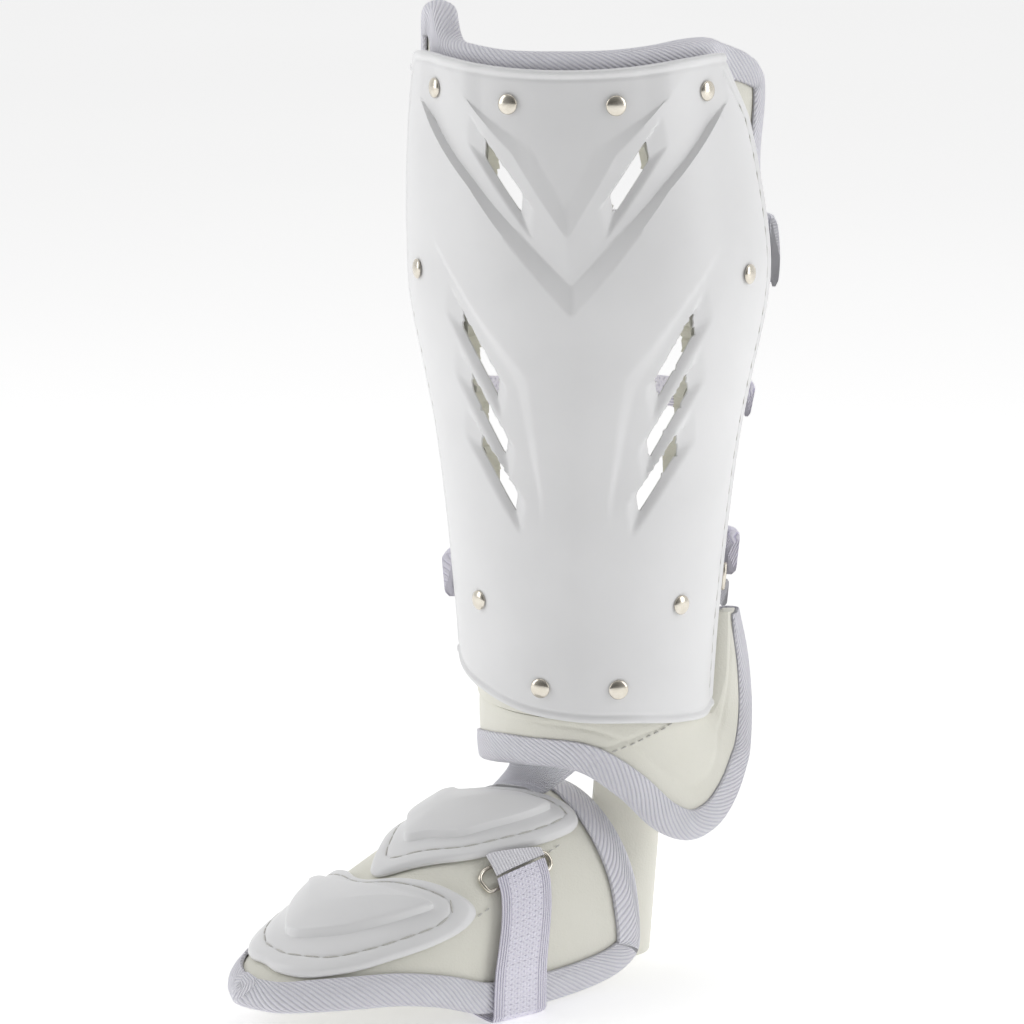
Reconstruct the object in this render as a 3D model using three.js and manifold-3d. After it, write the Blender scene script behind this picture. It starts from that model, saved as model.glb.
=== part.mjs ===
// Batter's leg guard: a moulded shin shell on a padded lining, an ankle flap and a foot guard with
// two plates. Millimetres, +Z up. The shin faces -Y, and the foot points to the front left.
import * as THREE from 'three';
import { mergeVertices } from 'three/addons/utils/BufferGeometryUtils.js';
import Module from 'manifold-3d';

const wasm = await Module();
wasm.setup();

// ---- Driving sizes ----
// Heights are measured from the floor that the foot guard stands on.
const SHELL_BOTTOM = 120;          // middle of the shell's lower edge
const SHELL_HEIGHT = 272;          // lower edge to upper edge, at the middle
const SHELL_HALF_WIDTH = 77;       // widest place, at the calf
const SHELL_DEPTH = 74;            // leg axis to the front of the shell, at the calf
const SHELL_WALL = 3;
const SHELL_WRAP = 83;             // degrees from the middle to each side edge
const RELIEF = 3.4;                // how far the highest panel stands over the lowest
const CLEAR = 0.3;                 // gap between touching pieces
const LINER_WALL = 7;
const LINER_WRAP = 97;
const WING_HEIGHT = 20;            // the lining's left top corner above the shell's upper edge
const FLARE = 8;                   // the lining's right top corner leans out
const LINER_SWELL = 3.6;           // the lining's free side edges bulge outward
const TAPE = 1.5;                  // binding tape
const TAPE_CLEAR = 0.6;           // the lining is soft, so the tape stands a little off it
const TAPE_PUFF = 0.3;            // and bulges along the middle of each leg
const TAPE_DEPTH = 11;             // how far the folded tape reaches over the edge
const TAPE_TUCK = 2.6;             // the lining is pressed in where tape lies between it and the shell
const SLOT_WIDTH = 6.5;
const WINDOW_WIDTH = 20;           // the lining is open wider behind each vent
const WINDOW_OUT = 6.5;            // and further out, in line with the view through it
const RIVET_RADIUS = 4.2;
const RIVET_HEIGHT = 1.9;
const FLAP_WALL = 5;
const FLAP_RADIUS = 47;            // ankle flap, from the leg axis, at the left
const FOOT_TURN = 50;              // degrees from straight ahead to the left
const FOOT_LENGTH = 175;           // leg axis to the toe edge
const FOOT_HALF_WIDTH = 45;
const FOOT_HEIGHT = 76;            // floor to the top of the instep
const FOOT_WALL = 5;
const FOOT_FORWARD = 14;           // foot guard's origin in front of the leg axis
const FOOT_CORNER = 0.07;          // rear corners' rounding, as a share of the pad's sections
const FOOT_LIFT = 6;               // room under the foot guard for tape and strap
const PLATE_RIM = 3.2;
const PLATE_DOME = 5.5;
const STRAP_WIDTH = 27;
const STRAP_WALL = 1.8;
const STRAP_OVER = 3.1;            // the sole strap's inner face over the foot pad
const WIRE = 1.8;
const WALL_SHEET = 3;              // ankle wall
const WALL_HEIGHT = 96;
const WALL_FORWARD = 6;            // the ankle wall's middle in front of the leg axis
const CALF_STRAP_WIDTH = 29;
const LOW_STRAP_WIDTH = 19;
const MIDDLE_STRAP_WIDTH = 13;
const HOOK_WEB_WIDTH = 12;
const STRAP_SLACK = 6;             // the straps lie closer in behind the leg
const STRAP_SAG = 6;               // and hang a little there
const LEG_MOUNT_HEIGHT = 230;      // the leg's middle inside the hollow, above the floor

// ---- Tables: shares of the named sizes ----
// up: share of the shell's height; half, front: shares of its half width and depth.
const shellSections = [
  { up: -0.05, half: 0.705, front: 0.815, middle: 3, lean: 0 },
  { up: 0.00, half: 0.708, front: 0.820, middle: 2.5, lean: 0 },
  { up: 0.07, half: 0.722, front: 0.840, middle: 1.2, lean: 0 },
  { up: 0.13, half: 0.736, front: 0.855, middle: 0.5, lean: 0 },
  { up: 0.28, half: 0.785, front: 0.895, middle: 0, lean: 0 },
  { up: 0.42, half: 0.845, front: 0.935, middle: 0, lean: 0 },
  { up: 0.52, half: 0.910, front: 0.965, middle: 0, lean: 0 },
  { up: 0.58, half: 0.955, front: 0.980, middle: -0.3, lean: 0 },
  { up: 0.64, half: 0.990, front: 0.995, middle: -1, lean: 0 },
  { up: 0.70, half: 1.000, front: 1.000, middle: -1.5, lean: 0 },
  { up: 0.78, half: 0.985, front: 0.995, middle: -1.8, lean: -0.018 },
  { up: 0.89, half: 0.945, front: 0.975, middle: -1.4, lean: -0.048 },
  { up: 1.00, half: 0.905, front: 0.950, middle: -2.0, lean: -0.06 },
  { up: 1.10, half: 0.905, front: 0.935, middle: -2.2, lean: -0.063 },
];
// turn: share of the shell's wrap; rise: share of its height. Lower and upper edges.
const shellEdges = [
  { turn: -1.00, low: 0.062, high: 0.985 },
  { turn: -0.88, low: 0.046, high: 1.012 },
  { turn: -0.60, low: 0.028, high: 1.012 },
  { turn: -0.30, low: 0.008, high: 1.003 },
  { turn: 0.00, low: 0.000, high: 1.000 },
  { turn: 0.30, low: -0.006, high: 1.004 },
  { turn: 0.60, low: -0.018, high: 1.014 },
  { turn: 0.88, low: -0.027, high: 1.012 },
  { turn: 1.00, low: -0.018, high: 0.980 },
];
// Share of the shell's wrap that its right side edge reaches, by rise: the upper corner is cut in.
const rightEdge = [
  { rise: 0.00, reach: 1.00 },
  { rise: 0.84, reach: 1.000 },
  { rise: 0.91, reach: 0.965 },
  { rise: 0.95, reach: 0.885 },
  { rise: 0.98, reach: 0.825 },
  { rise: 1.02, reach: 0.760 },
];
// The lining's upper edge over the shell's: share of the lining's wrap, share of WING_HEIGHT.
const linerEdge = [
  { turn: -1.00, over: 0.45 },
  { turn: -0.96, over: 0.78 },
  { turn: -0.90, over: 0.96 },
  { turn: -0.82, over: 0.98 },
  { turn: -0.75, over: 0.72 },
  { turn: -0.67, over: 0.40 },
  { turn: -0.58, over: 0.27 },
  { turn: -0.45, over: 0.22 },
  { turn: -0.25, over: 0.16 },
  { turn: 0.00, over: 0.17 },
  { turn: 0.20, over: 0.19 },
  { turn: 0.40, over: 0.265 },
  { turn: 0.55, over: 0.34 },
  { turn: 0.70, over: 0.335 },
  { turn: 0.80, over: 0.25 },
  { turn: 0.90, over: 0.07 },
  { turn: 0.96, over: -0.15 },
  { turn: 1.00, over: -0.45 },
];
// Creases of the chevron: turn from the keel, rise in shares of the shell's height.
const chevron = {
  a: [[0, 0.790], [0.125, 0.884], [0.41, 0.948]],
  b: [[0, 0.752], [0.205, 0.878], [0.41, 0.948]],
  c: [[0, 0.679], [0.175, 0.750], [0.40, 0.832], [0.67, 0.918]],
  d: [[0, 0.634], [0.245, 0.750], [0.40, 0.822], [0.70, 0.926]],
};
// Heights of the panels over the outer panels, as shares of RELIEF.
const LEVEL = { middle: -0.55, ridge: -0.15, valley: -1, ventPanel: -0.35, keel: 0.22 };
// Crease beside the lower vents: the middle panel stands over the side panels.
const slotCrease = [[0.155, 0.335], [0.196, 0.540], [0.30, 0.600], [0.63, 0.745]];
const vents = [
  { name: 'upper', turnA: 0.345, riseA: 0.882, turnB: 0.180, riseB: 0.802 },
  { name: 'side_1', turnA: 0.497, riseA: 0.621, turnB: 0.350, riseB: 0.521 },
  { name: 'side_2', turnA: 0.502, riseA: 0.528, turnB: 0.338, riseB: 0.428 },
  { name: 'side_3', turnA: 0.491, riseA: 0.434, turnB: 0.299, riseB: 0.344 },
];
const rivets = [
  { name: 'top_outer', turn: 0.655, rise: 0.963 },
  { name: 'top_inner', turn: 0.222, rise: 0.949 },
  { name: 'calf', turn: 0.762, rise: 0.684 },
  { name: 'low_outer', turn: 0.566, rise: 0.175 },
  { name: 'low_inner', turn: 0.205, rise: 0.052 },
];
// Ankle flap: lower edge and upper edge points; turns in degrees, heights as shares of SHELL_BOTTOM,
// reach as a share of FLAP_RADIUS.
const flapRows = [
  { low: -80, lowUp: 0.757, top: -80, topUp: 0.993, reach: 0.97, topReach: 1.00 },
  { low: -55, lowUp: 0.793, top: -55, topUp: 0.993, reach: 1.01, topReach: 1.04 },
  { low: -28, lowUp: 0.824, top: -30, topUp: 0.993, reach: 1.07, topReach: 1.11 },
  { low: 0, lowUp: 0.825, top: 0, topUp: 0.993, reach: 1.13, topReach: 1.16 },
  { low: 20, lowUp: 0.732, top: 20, topUp: 0.993, reach: 1.19, topReach: 1.15 },
  { low: 36, lowUp: 0.607, top: 36, topUp: 0.993, reach: 1.25, topReach: 1.12 },
  { low: 50, lowUp: 0.552, top: 50, topUp: 0.990, reach: 1.31, topReach: 1.09 },
  { low: 63, lowUp: 0.575, top: 62, topUp: 0.985, reach: 1.36, topReach: 1.07 },
  { low: 74, lowUp: 0.640, top: 72, topUp: 0.970, reach: 1.40, topReach: 1.065 },
  { low: 84, lowUp: 0.715, top: 79, topUp: 0.945, reach: 1.43, topReach: 1.08 },
  { low: 92, lowUp: 0.790, top: 84.5, topUp: 0.930, reach: 1.46, topReach: 1.17 },
  { low: 97, lowUp: 0.950, top: 87, topUp: 1.040, reach: 1.47, topReach: 1.26 },
  { low: 98, lowUp: 1.120, top: 88, topUp: 1.180, reach: 1.43, topReach: 1.28 },
  { low: 96, lowUp: 1.290, top: 88.5, topUp: 1.290, reach: 1.34, topReach: 1.28 },
];
// Foot guard: ridge and edge of each section, as shares of the foot's length, half width and height.
const footRows = [
  { ridge: 0.070, top: 1.000, edge: 0.015, side: 0.93, low: 0.300 },
  { ridge: 0.120, top: 1.010, edge: 0.030, side: 0.96, low: 0.150 },
  { ridge: 0.200, top: 1.010, edge: 0.100, side: 0.98, low: 0.060 },
  { ridge: 0.290, top: 0.985, edge: 0.230, side: 1.00, low: 0.015 },
  { ridge: 0.390, top: 0.920, edge: 0.360, side: 1.02, low: 0.010 },
  { ridge: 0.490, top: 0.820, edge: 0.480, side: 1.03, low: 0.030 },
  { ridge: 0.590, top: 0.690, edge: 0.585, side: 1.00, low: 0.105 },
  { ridge: 0.690, top: 0.560, edge: 0.690, side: 0.93, low: 0.150 },
  { ridge: 0.790, top: 0.440, edge: 0.795, side: 0.80, low: 0.155 },
  { ridge: 0.870, top: 0.350, edge: 0.885, side: 0.60, low: 0.145 },
  { ridge: 0.935, top: 0.265, edge: 0.950, side: 0.38, low: 0.135 },
  { ridge: 0.975, top: 0.200, edge: 0.990, side: 0.02, low: 0.130 },
];

// Plates of the foot guard: rim and dome outlines on the foot pad's surface, toe point first.
// along: share of the pad from the ankle to the toe; round: share of the way from ridge to edge.
const platePoints = {
  instep: { middle: 0.38, rows: [
    { along: 0.565, round: 0.000, domeAlong: 0.470, domeRound: 0.000 },
    { along: 0.510, round: 0.160, domeAlong: 0.445, domeRound: 0.080 },
    { along: 0.410, round: 0.345, domeAlong: 0.400, domeRound: 0.205 },
    { along: 0.285, round: 0.435, domeAlong: 0.315, domeRound: 0.270 },
    { along: 0.180, round: 0.440, domeAlong: 0.250, domeRound: 0.290 },
    { along: 0.135, round: 0.400, domeAlong: 0.190, domeRound: 0.280 },
    { along: 0.122, round: 0.330, domeAlong: 0.205, domeRound: 0.225 },
    { along: 0.135, round: 0.250, domeAlong: 0.230, domeRound: 0.160 },
    { along: 0.180, round: 0.120, domeAlong: 0.265, domeRound: 0.080 },
    { along: 0.225, round: 0.000, domeAlong: 0.290, domeRound: 0.000 },
  ] },
  toe: { middle: 0.70, rows: [
    { along: 0.880, round: 0.000, domeAlong: 0.775, domeRound: 0.000 },
    { along: 0.875, round: 0.300, domeAlong: 0.755, domeRound: 0.130 },
    { along: 0.825, round: 0.575, domeAlong: 0.690, domeRound: 0.320 },
    { along: 0.730, round: 0.680, domeAlong: 0.620, domeRound: 0.420 },
    { along: 0.630, round: 0.705, domeAlong: 0.570, domeRound: 0.465 },
    { along: 0.545, round: 0.700, domeAlong: 0.530, domeRound: 0.485 },
    { along: 0.470, round: 0.660, domeAlong: 0.535, domeRound: 0.450 },
    { along: 0.445, round: 0.590, domeAlong: 0.550, domeRound: 0.390 },
    { along: 0.480, round: 0.430, domeAlong: 0.570, domeRound: 0.290 },
    { along: 0.530, round: 0.230, domeAlong: 0.590, domeRound: 0.150 },
    { along: 0.585, round: 0.000, domeAlong: 0.610, domeRound: 0.000 },
  ] },
};

// ---- Helpers ----
const rad = (degrees) => (degrees * Math.PI) / 180;
const mix = (a, b, k) => a + (b - a) * k;
const clamp = (x, lo, hi) => Math.min(hi, Math.max(lo, x));
const vec = (x, y, z) => new THREE.Vector3(x, y, z);

function smooth(lo, hi, x) {
  const k = clamp((x - lo) / (hi - lo), 0, 1);
  return k * k * (3 - 2 * k);
}

// Value of one column of a table at x, with rounded joins between the rows.
function read(rows, key, column, x) {
  const last = rows.length - 1;
  const at = clamp(x, rows[0][key], rows[last][key]);
  let i = 0;
  while (i < last - 1 && at > rows[i + 1][key]) i += 1;
  const slope = (j) => {
    const lo = rows[Math.max(j - 1, 0)];
    const hi = rows[Math.min(j + 1, last)];
    return (hi[column] - lo[column]) / (hi[key] - lo[key]);
  };
  const step = rows[i + 1][key] - rows[i][key];
  const k = (at - rows[i][key]) / step;
  const k2 = k * k;
  const k3 = k2 * k;
  return (2 * k3 - 3 * k2 + 1) * rows[i][column] + (k3 - 2 * k2 + k) * step * slope(i)
    + (3 * k2 - 2 * k3) * rows[i + 1][column] + (k3 - k2) * step * slope(i + 1);
}

// The same for a table whose rows are evenly spaced over 0 to 1.
function readEven(rows, column, share) {
  const spaced = rows.map((row, i) => ({ ...row, place: i / (rows.length - 1) }));
  return read(spaced, 'place', column, share);
}

// Height of a crease given as [turn, rise] points, at a turn.
function creaseAt(points, turn) {
  const last = points.length - 1;
  let i = 0;
  while (i < last - 1 && turn > points[i + 1][0]) i += 1;
  const k = (turn - points[i][0]) / (points[i + 1][0] - points[i][0]);
  return mix(points[i][1], points[i + 1][1], k);
}

// Closed solid through a list of rings with the same number of points.
function loft(rings, closed = false) {
  const count = rings[0].length;
  const position = rings.flat().flatMap((p) => [p.x, p.y, p.z]);
  const index = [];
  const spans = closed ? rings.length : rings.length - 1;
  for (let i = 0; i < spans; i += 1) {
    const next = (i + 1) % rings.length;
    for (let j = 0; j < count; j += 1) {
      const a = i * count + j;
      const b = i * count + ((j + 1) % count);
      const c = next * count + ((j + 1) % count);
      const d = next * count + j;
      index.push(a, b, c, a, c, d);
    }
  }
  if (!closed) {
    for (const [ring, flip] of [[0, true], [rings.length - 1, false]]) {
      const contour = rings[ring];
      const faces = capFaces(contour);
      for (const [a, b, c] of faces) {
        const base = ring * count;
        index.push(...(flip ? [base + c, base + b, base + a] : [base + a, base + b, base + c]));
      }
    }
  }
  return closedGeometry(position, index);
}

// Triangles of a flat ring, found in the plane that it lies in.
function capFaces(ring) {
  const normal = vec(0, 0, 0);
  ring.forEach((p, i) => normal.add(p.clone().cross(ring[(i + 1) % ring.length])));
  normal.normalize();
  const side = Math.abs(normal.z) < 0.9 ? vec(0, 0, 1) : vec(1, 0, 0);
  const u = side.cross(normal).normalize();
  const v = normal.clone().cross(u);
  const flat = ring.map((p) => new THREE.Vector2(p.dot(u), p.dot(v)));
  return THREE.ShapeUtils.triangulateShape(flat, []);
}

function closedGeometry(position, index) {
  let geometry = new THREE.BufferGeometry();
  geometry.setAttribute('position', new THREE.Float32BufferAttribute(position, 3));
  geometry.setIndex(index);
  geometry = mergeVertices(geometry, 1e-4);
  const kept = [];
  const all = geometry.index.array;
  for (let i = 0; i < all.length; i += 3) {
    const [a, b, c] = [all[i], all[i + 1], all[i + 2]];
    if (a !== b && b !== c && c !== a) kept.push(a, b, c);
  }
  geometry.setIndex(kept);
  if (volume(geometry) < 0) {
    const turned = Array.from(geometry.index.array);
    for (let i = 0; i < turned.length; i += 3) {
      [turned[i], turned[i + 1]] = [turned[i + 1], turned[i]];
    }
    geometry.setIndex(turned);
  }
  return geometry;
}

function volume(geometry) {
  const p = geometry.attributes.position;
  const index = geometry.index.array;
  let total = 0;
  for (let i = 0; i < index.length; i += 3) {
    const [a, b, c] = [0, 1, 2].map((k) => vec().fromBufferAttribute(p, index[i + k]));
    total += a.dot(b.cross(c)) / 6;
  }
  return total;
}

// Sheet between an outer and an inner face; both are functions of two shares, 0 to 1.
function sheet(outer, inner, columns, rows) {
  const rings = [];
  for (let i = 0; i <= columns; i += 1) {
    const u = i / columns;
    const ring = [];
    for (let j = 0; j <= rows; j += 1) ring.push(outer(u, j / rows));
    for (let j = rows; j >= 0; j -= 1) ring.push(inner(u, j / rows));
    rings.push(ring);
  }
  return sheetFromRings(rings, rows + 1);
}

// The caps of a sheet are the strips between its two faces.
function sheetFromRings(rings, half) {
  const count = rings[0].length;
  const position = rings.flat().flatMap((p) => [p.x, p.y, p.z]);
  const index = [];
  for (let i = 0; i < rings.length - 1; i += 1) {
    for (let j = 0; j < count; j += 1) {
      const a = i * count + j;
      const b = i * count + ((j + 1) % count);
      index.push(a, b, b + count, a, b + count, a + count);
    }
  }
  for (const [base, flip] of [[0, true], [(rings.length - 1) * count, false]]) {
    for (let j = 0; j < half - 1; j += 1) {
      const a = base + j;
      const b = base + j + 1;
      const c = base + count - 2 - j;
      const d = base + count - 1 - j;
      index.push(...(flip ? [b, a, c, c, a, d] : [a, b, c, a, c, d]));
    }
  }
  return closedGeometry(position, index);
}

function toSolid(geometry) {
  let bare = geometry.clone();
  bare.deleteAttribute('normal');
  bare.deleteAttribute('uv');
  bare = mergeVertices(bare, 1e-4);
  const vertProperties = new Float32Array(bare.attributes.position.array);
  const triVerts = new Uint32Array(bare.index.array);
  return new wasm.Manifold(new wasm.Mesh({ numProp: 3, vertProperties, triVerts }));
}

function toGeometry(solid) {
  const mesh = solid.simplify(0.01).getMesh();
  const geometry = new THREE.BufferGeometry();
  geometry.setAttribute('position', new THREE.Float32BufferAttribute(mesh.vertProperties, 3));
  geometry.setIndex(Array.from(mesh.triVerts));
  return geometry;
}

// ---- The leg's surfaces ----
const shellRise = (share) => SHELL_BOTTOM + SHELL_HEIGHT * share;

// Point on the shell's plain outer face: turn in degrees from the keel, height, offset outward.
function legPoint(turn, z, out) {
  const up = (z - SHELL_BOTTOM) / SHELL_HEIGHT;
  const half = SHELL_HALF_WIDTH * read(shellSections, 'up', 'half', up) + out;
  const front = SHELL_DEPTH * read(shellSections, 'up', 'front', up) + out;
  const keel = read(shellSections, 'up', 'middle', up) * Math.cos(rad(turn) * 0.9) ** 2;
  const lean = SHELL_HALF_WIDTH * read(shellSections, 'up', 'lean', up);
  const angle = rad(turn + keel);
  return vec(lean + half * Math.sin(angle), -front * Math.cos(angle), z);
}

// Relief of the shell over its plain face, from the chevron and the vent panels.
function relief(turnShare, rise) {
  const t = Math.abs(turnShare);
  const [a, b, c, d] = ['a', 'b', 'c', 'd'].map((line) => creaseAt(chevron[line], t));
  let height = 0;
  const middle = mix(LEVEL.middle, LEVEL.ridge, smooth(0.34, 0.46, t));
  if (rise >= a) height = middle;
  else if (rise >= b) height = mix(LEVEL.ridge, middle, (rise - b) / (a - b));
  else if (rise >= c) height = mix(LEVEL.valley, LEVEL.ridge, (rise - c) / (b - c));
  else if (rise >= d) height = mix(0, LEVEL.valley, (rise - d) / (c - d));
  height *= smooth(0.78, 0.64, t);
  if (t > slotCrease[0][0]) {
    const below = creaseAt(slotCrease, t) - rise;
    const fade = smooth(0.75, 0.45, t) * smooth(0.30, 0.40, rise);
    height += LEVEL.ventPanel * smooth(0, 0.03, below) * fade;
  }
  const keelRidge = LEVEL.keel * Math.exp(-((t / 0.12) ** 2)) * smooth(0.66, 0.5, rise);
  return RELIEF * (height + keelRidge);
}

// The turn of a column of the shell at a rise, which the cut corner narrows on the right.
const sideShare = (share, rise) => (share > 0 ? share * read(rightEdge, 'rise', 'reach', rise) : share);

function edgeRise(turnShare, column) {
  return read(shellEdges, 'turn', column, turnShare);
}

// Heights of the shell's rows at a turn; the rows run along the creases of the chevron.
function shellRows(share) {
  const low = edgeRise(share, 'low');
  const high = edgeRise(sideShare(share, 1), 'high');
  const creaseRise = (line) => {
    let rise = 0.85;
    for (let i = 0; i < 6; i += 1) rise = creaseAt(chevron[line], Math.abs(sideShare(share, rise)));
    return rise;
  };
  const lines = ['d', 'c', 'b', 'a'].map((line, i) => Math.min(creaseRise(line), high - 0.006 * (6 - i)));
  for (let i = 1; i < 4; i += 1) lines[i] = Math.max(lines[i], lines[i - 1] + 0.006);
  const rises = [];
  for (let i = 0; i < 12; i += 1) rises.push(mix(low, lines[0], i / 12));
  rises.push(lines[0], lines[1], mix(lines[1], lines[2], 0.5), lines[2], lines[3]);
  rises.push(mix(lines[3], high, 0.5), high);
  return rises;
}

function shellSheet(columns) {
  const rings = [];
  for (let i = 0; i <= columns; i += 1) {
    const share = mix(-1, 1, i / columns);
    const face = (rise, out) => {
      const turn = sideShare(share, rise);
      return legPoint(turn * SHELL_WRAP, shellRise(rise), out + relief(turn, rise));
    };
    const rises = shellRows(share);
    rings.push([...rises.map((r) => face(r, 0)), ...rises.toReversed().map((r) => face(r, -SHELL_WALL))]);
  }
  return sheetFromRings(rings, rings[0].length / 2);
}

// Long slanted cutter through the wall, from one end of a vent to the other.
function ventCutter(vent, side, width, reach, shift) {
  const ends = [[vent.turnA, vent.riseA], [vent.turnB, vent.riseB]];
  const [a, b] = ends.map(([t, r]) => legPoint(side * t * SHELL_WRAP, shellRise(r), 0));
  const middle = a.clone().add(b).multiplyScalar(0.5);
  const along = b.clone().sub(a);
  const length = along.length();
  along.normalize();
  const outward = vec(middle.x, middle.y, 0).normalize();
  const across = along.clone().cross(outward).normalize();
  const through = along.clone().cross(across).normalize();
  const box = new THREE.BoxGeometry(length, width, reach);
  const sideways = Math.sign(across.x * side) * shift;
  middle.addScaledVector(across, sideways);
  box.applyMatrix4(new THREE.Matrix4().makeBasis(along, across, through).setPosition(middle));
  return toSolid(box);
}

function cutVents(geometry, width, reach, shift = 0) {
  let solid = toSolid(geometry);
  for (const vent of vents) {
    for (const side of [-1, 1]) solid = solid.subtract(ventCutter(vent, side, width, reach, shift));
  }
  return toGeometry(solid);
}

// ---- Lining and binding ----
const linerOut = -SHELL_WALL + LEVEL.valley * RELIEF - CLEAR;

const linerTop = (turnShare) => shellRise(1) + WING_HEIGHT * read(linerEdge, 'turn', 'over', turnShare);

// The lining swells a little where the shell's side edges leave it free.
function linerPoint(share, z, out) {
  const turn = share * LINER_WRAP;
  const free = clamp((Math.abs(turn) - SHELL_WRAP - 2) / (LINER_WRAP - SHELL_WRAP - 2), 0, 1);
  const taped = linerTop(share) - TAPE_DEPTH;
  const tuck = TAPE_TUCK * smooth(taped - 6, taped - 1, z) * smooth(0.88, 0.80, Math.abs(share));
  const flare = FLARE * smooth(shellRise(0.80), shellRise(0.97), z) * smooth(0.84, 1, share);
  return legPoint(turn, z, linerOut + free * LINER_SWELL + flare - tuck + out);
}

const linerLow = shellRise(0) - 0.5;
// Edge columns stand closer together, so that the corners are round.
const ease = (u) => mix(-1, 1, u) * (1.28 - 0.28 * mix(-1, 1, u) ** 2);

function linerFace(out) {
  return (u, v) => {
    const share = clamp(ease(u), -1, 1);
    return linerPoint(share, mix(linerLow, linerTop(share), v), out);
  };
}

// Tape folded over a sheet's edge. The path runs along the edge in the surface's own two
// coordinates, and both legs of the tape follow the surface inward from it.
function tape(path, surface, wall, closed = false) {
  const half = wall / 2;
  const thick = half + TAPE_CLEAR + TAPE;
  const last = path.length - 1;
  const rings = path.map(([a, b], i) => {
    const before = path[closed ? (i + last) % (last + 1) : Math.max(i - 1, 0)];
    const after = path[closed ? (i + 1) % (last + 1) : Math.min(i + 1, last)];
    const point = surface(a, b, -half);
    const along = surface(...after, -half).sub(surface(...before, -half)).normalize();
    const normal = surface(a, b, 1).sub(surface(a, b, -1)).normalize();
    normal.addScaledVector(along, -normal.dot(along)).normalize();
    const outward = normal.clone().cross(along).normalize();
    const inner = inset([a, b], surface, point, outward, half);
    const at = (k, out) => surface(mix(a, inner[0], k), mix(b, inner[1], k), out);
    const fold = (across, out) => surface(a, b, across - half).addScaledVector(outward, out);
    const under = -wall - TAPE_CLEAR;
    return [
      at(1, TAPE_CLEAR + TAPE),
      at(0.5, TAPE_CLEAR + TAPE_PUFF + TAPE),
      at(0, TAPE_CLEAR + TAPE),
      fold(0.66 * thick, 0.46 * thick),
      fold(0, 0.62 * thick),
      fold(-0.66 * thick, 0.46 * thick),
      at(0, under - TAPE),
      at(0.5, under - TAPE_PUFF - TAPE),
      at(1, under - TAPE),
      at(1, under),
      fold(-half - TAPE_CLEAR, TAPE_CLEAR),
      fold(half + TAPE_CLEAR, TAPE_CLEAR),
      at(1, TAPE_CLEAR),
    ];
  });
  return loft(rings, closed);
}

// The surface coordinates nearest to the place that lies the tape's depth inward from an edge.
function inset([a, b], surface, point, outward, half) {
  const [[aLow, aHigh], [bLow, bHigh]] = surface.range;
  const goal = point.clone().addScaledVector(outward, -TAPE_DEPTH);
  const unitA = aHigh - aLow;
  const unitB = bHigh - bLow;
  let place = [mix(a, (aLow + aHigh) / 2, 0.03), mix(b, (bLow + bHigh) / 2, 0.03)];
  for (let i = 0; i < 25; i += 1) {
    const here = surface(...place, -half);
    const miss = goal.clone().sub(here);
    const ha = (place[0] > (aLow + aHigh) / 2 ? -0.01 : 0.01) * unitA;
    const hb = (place[1] > (bLow + bHigh) / 2 ? -0.01 : 0.01) * unitB;
    const ja = surface(place[0] + ha, place[1], -half).sub(here).multiplyScalar(unitA / ha);
    const jb = surface(place[0], place[1] + hb, -half).sub(here).multiplyScalar(unitB / hb);
    const damp = 0.02 * (ja.dot(ja) + jb.dot(jb));
    const [aa, ab, bb] = [ja.dot(ja) + damp, ja.dot(jb), jb.dot(jb) + damp];
    const [ga, gb] = [ja.dot(miss), jb.dot(miss)];
    const det = aa * bb - ab * ab;
    const da = clamp((ga * bb - gb * ab) / det, -0.03, 0.03);
    const db = clamp((gb * aa - ga * ab) / det, -0.03, 0.03);
    place = [clamp(place[0] + da * unitA, aLow, aHigh), clamp(place[1] + db * unitB, bLow, bHigh)];
  }
  return place;
}

// What is left of a piece outside the given solids, which are grown by the clearance.
function clearOf(geometry, ...grown) {
  let solid = toSolid(geometry);
  for (const other of grown) solid = solid.subtract(toSolid(other));
  const bodies = solid.decompose().toSorted((p, q) => q.volume() - p.volume());
  return toGeometry(bodies[0]);
}

linerPoint.range = [[-1, 1], [linerLow, shellRise(1) + WING_HEIGHT + 10]];

function linerPath() {
  const path = [];
  const low = linerLow + 40;
  const corner = linerTop(1);
  for (let i = 0; i <= 5; i += 1) path.push([-1, mix(low, corner, i / 5)]);
  for (let i = 1; i < 26; i += 1) {
    const share = clamp(ease(i / 26), -1, 1);
    path.push([share, linerTop(share)]);
  }
  for (let i = 0; i <= 5; i += 1) path.push([1, mix(corner, low, i / 5)]);
  return path;
}

// ---- Ankle flap ----
function flapPoint(share, v, out) {
  const low = readEven(flapRows, 'low', share);
  const top = readEven(flapRows, 'top', share);
  const angle = rad(mix(low, top, v));
  const z = SHELL_BOTTOM * mix(readEven(flapRows, 'lowUp', share), readEven(flapRows, 'topUp', share), v);
  const radius = FLAP_RADIUS
    * mix(readEven(flapRows, 'reach', share), readEven(flapRows, 'topReach', share), v) + out;
  return vec(radius * Math.sin(angle), -radius * Math.cos(angle), z);
}

flapPoint.range = [[0, 1], [0, 1]];

// ---- Foot guard ----
const footAlong = vec(-Math.sin(rad(FOOT_TURN)), -Math.cos(rad(FOOT_TURN)), 0);
const footSide = vec(Math.cos(rad(FOOT_TURN)), -Math.sin(rad(FOOT_TURN)), 0);

const footMiddle = footAlong.clone().multiplyScalar(FOOT_LENGTH * 0.45).add(vec(0, -FOOT_FORWARD, 0));

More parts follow.
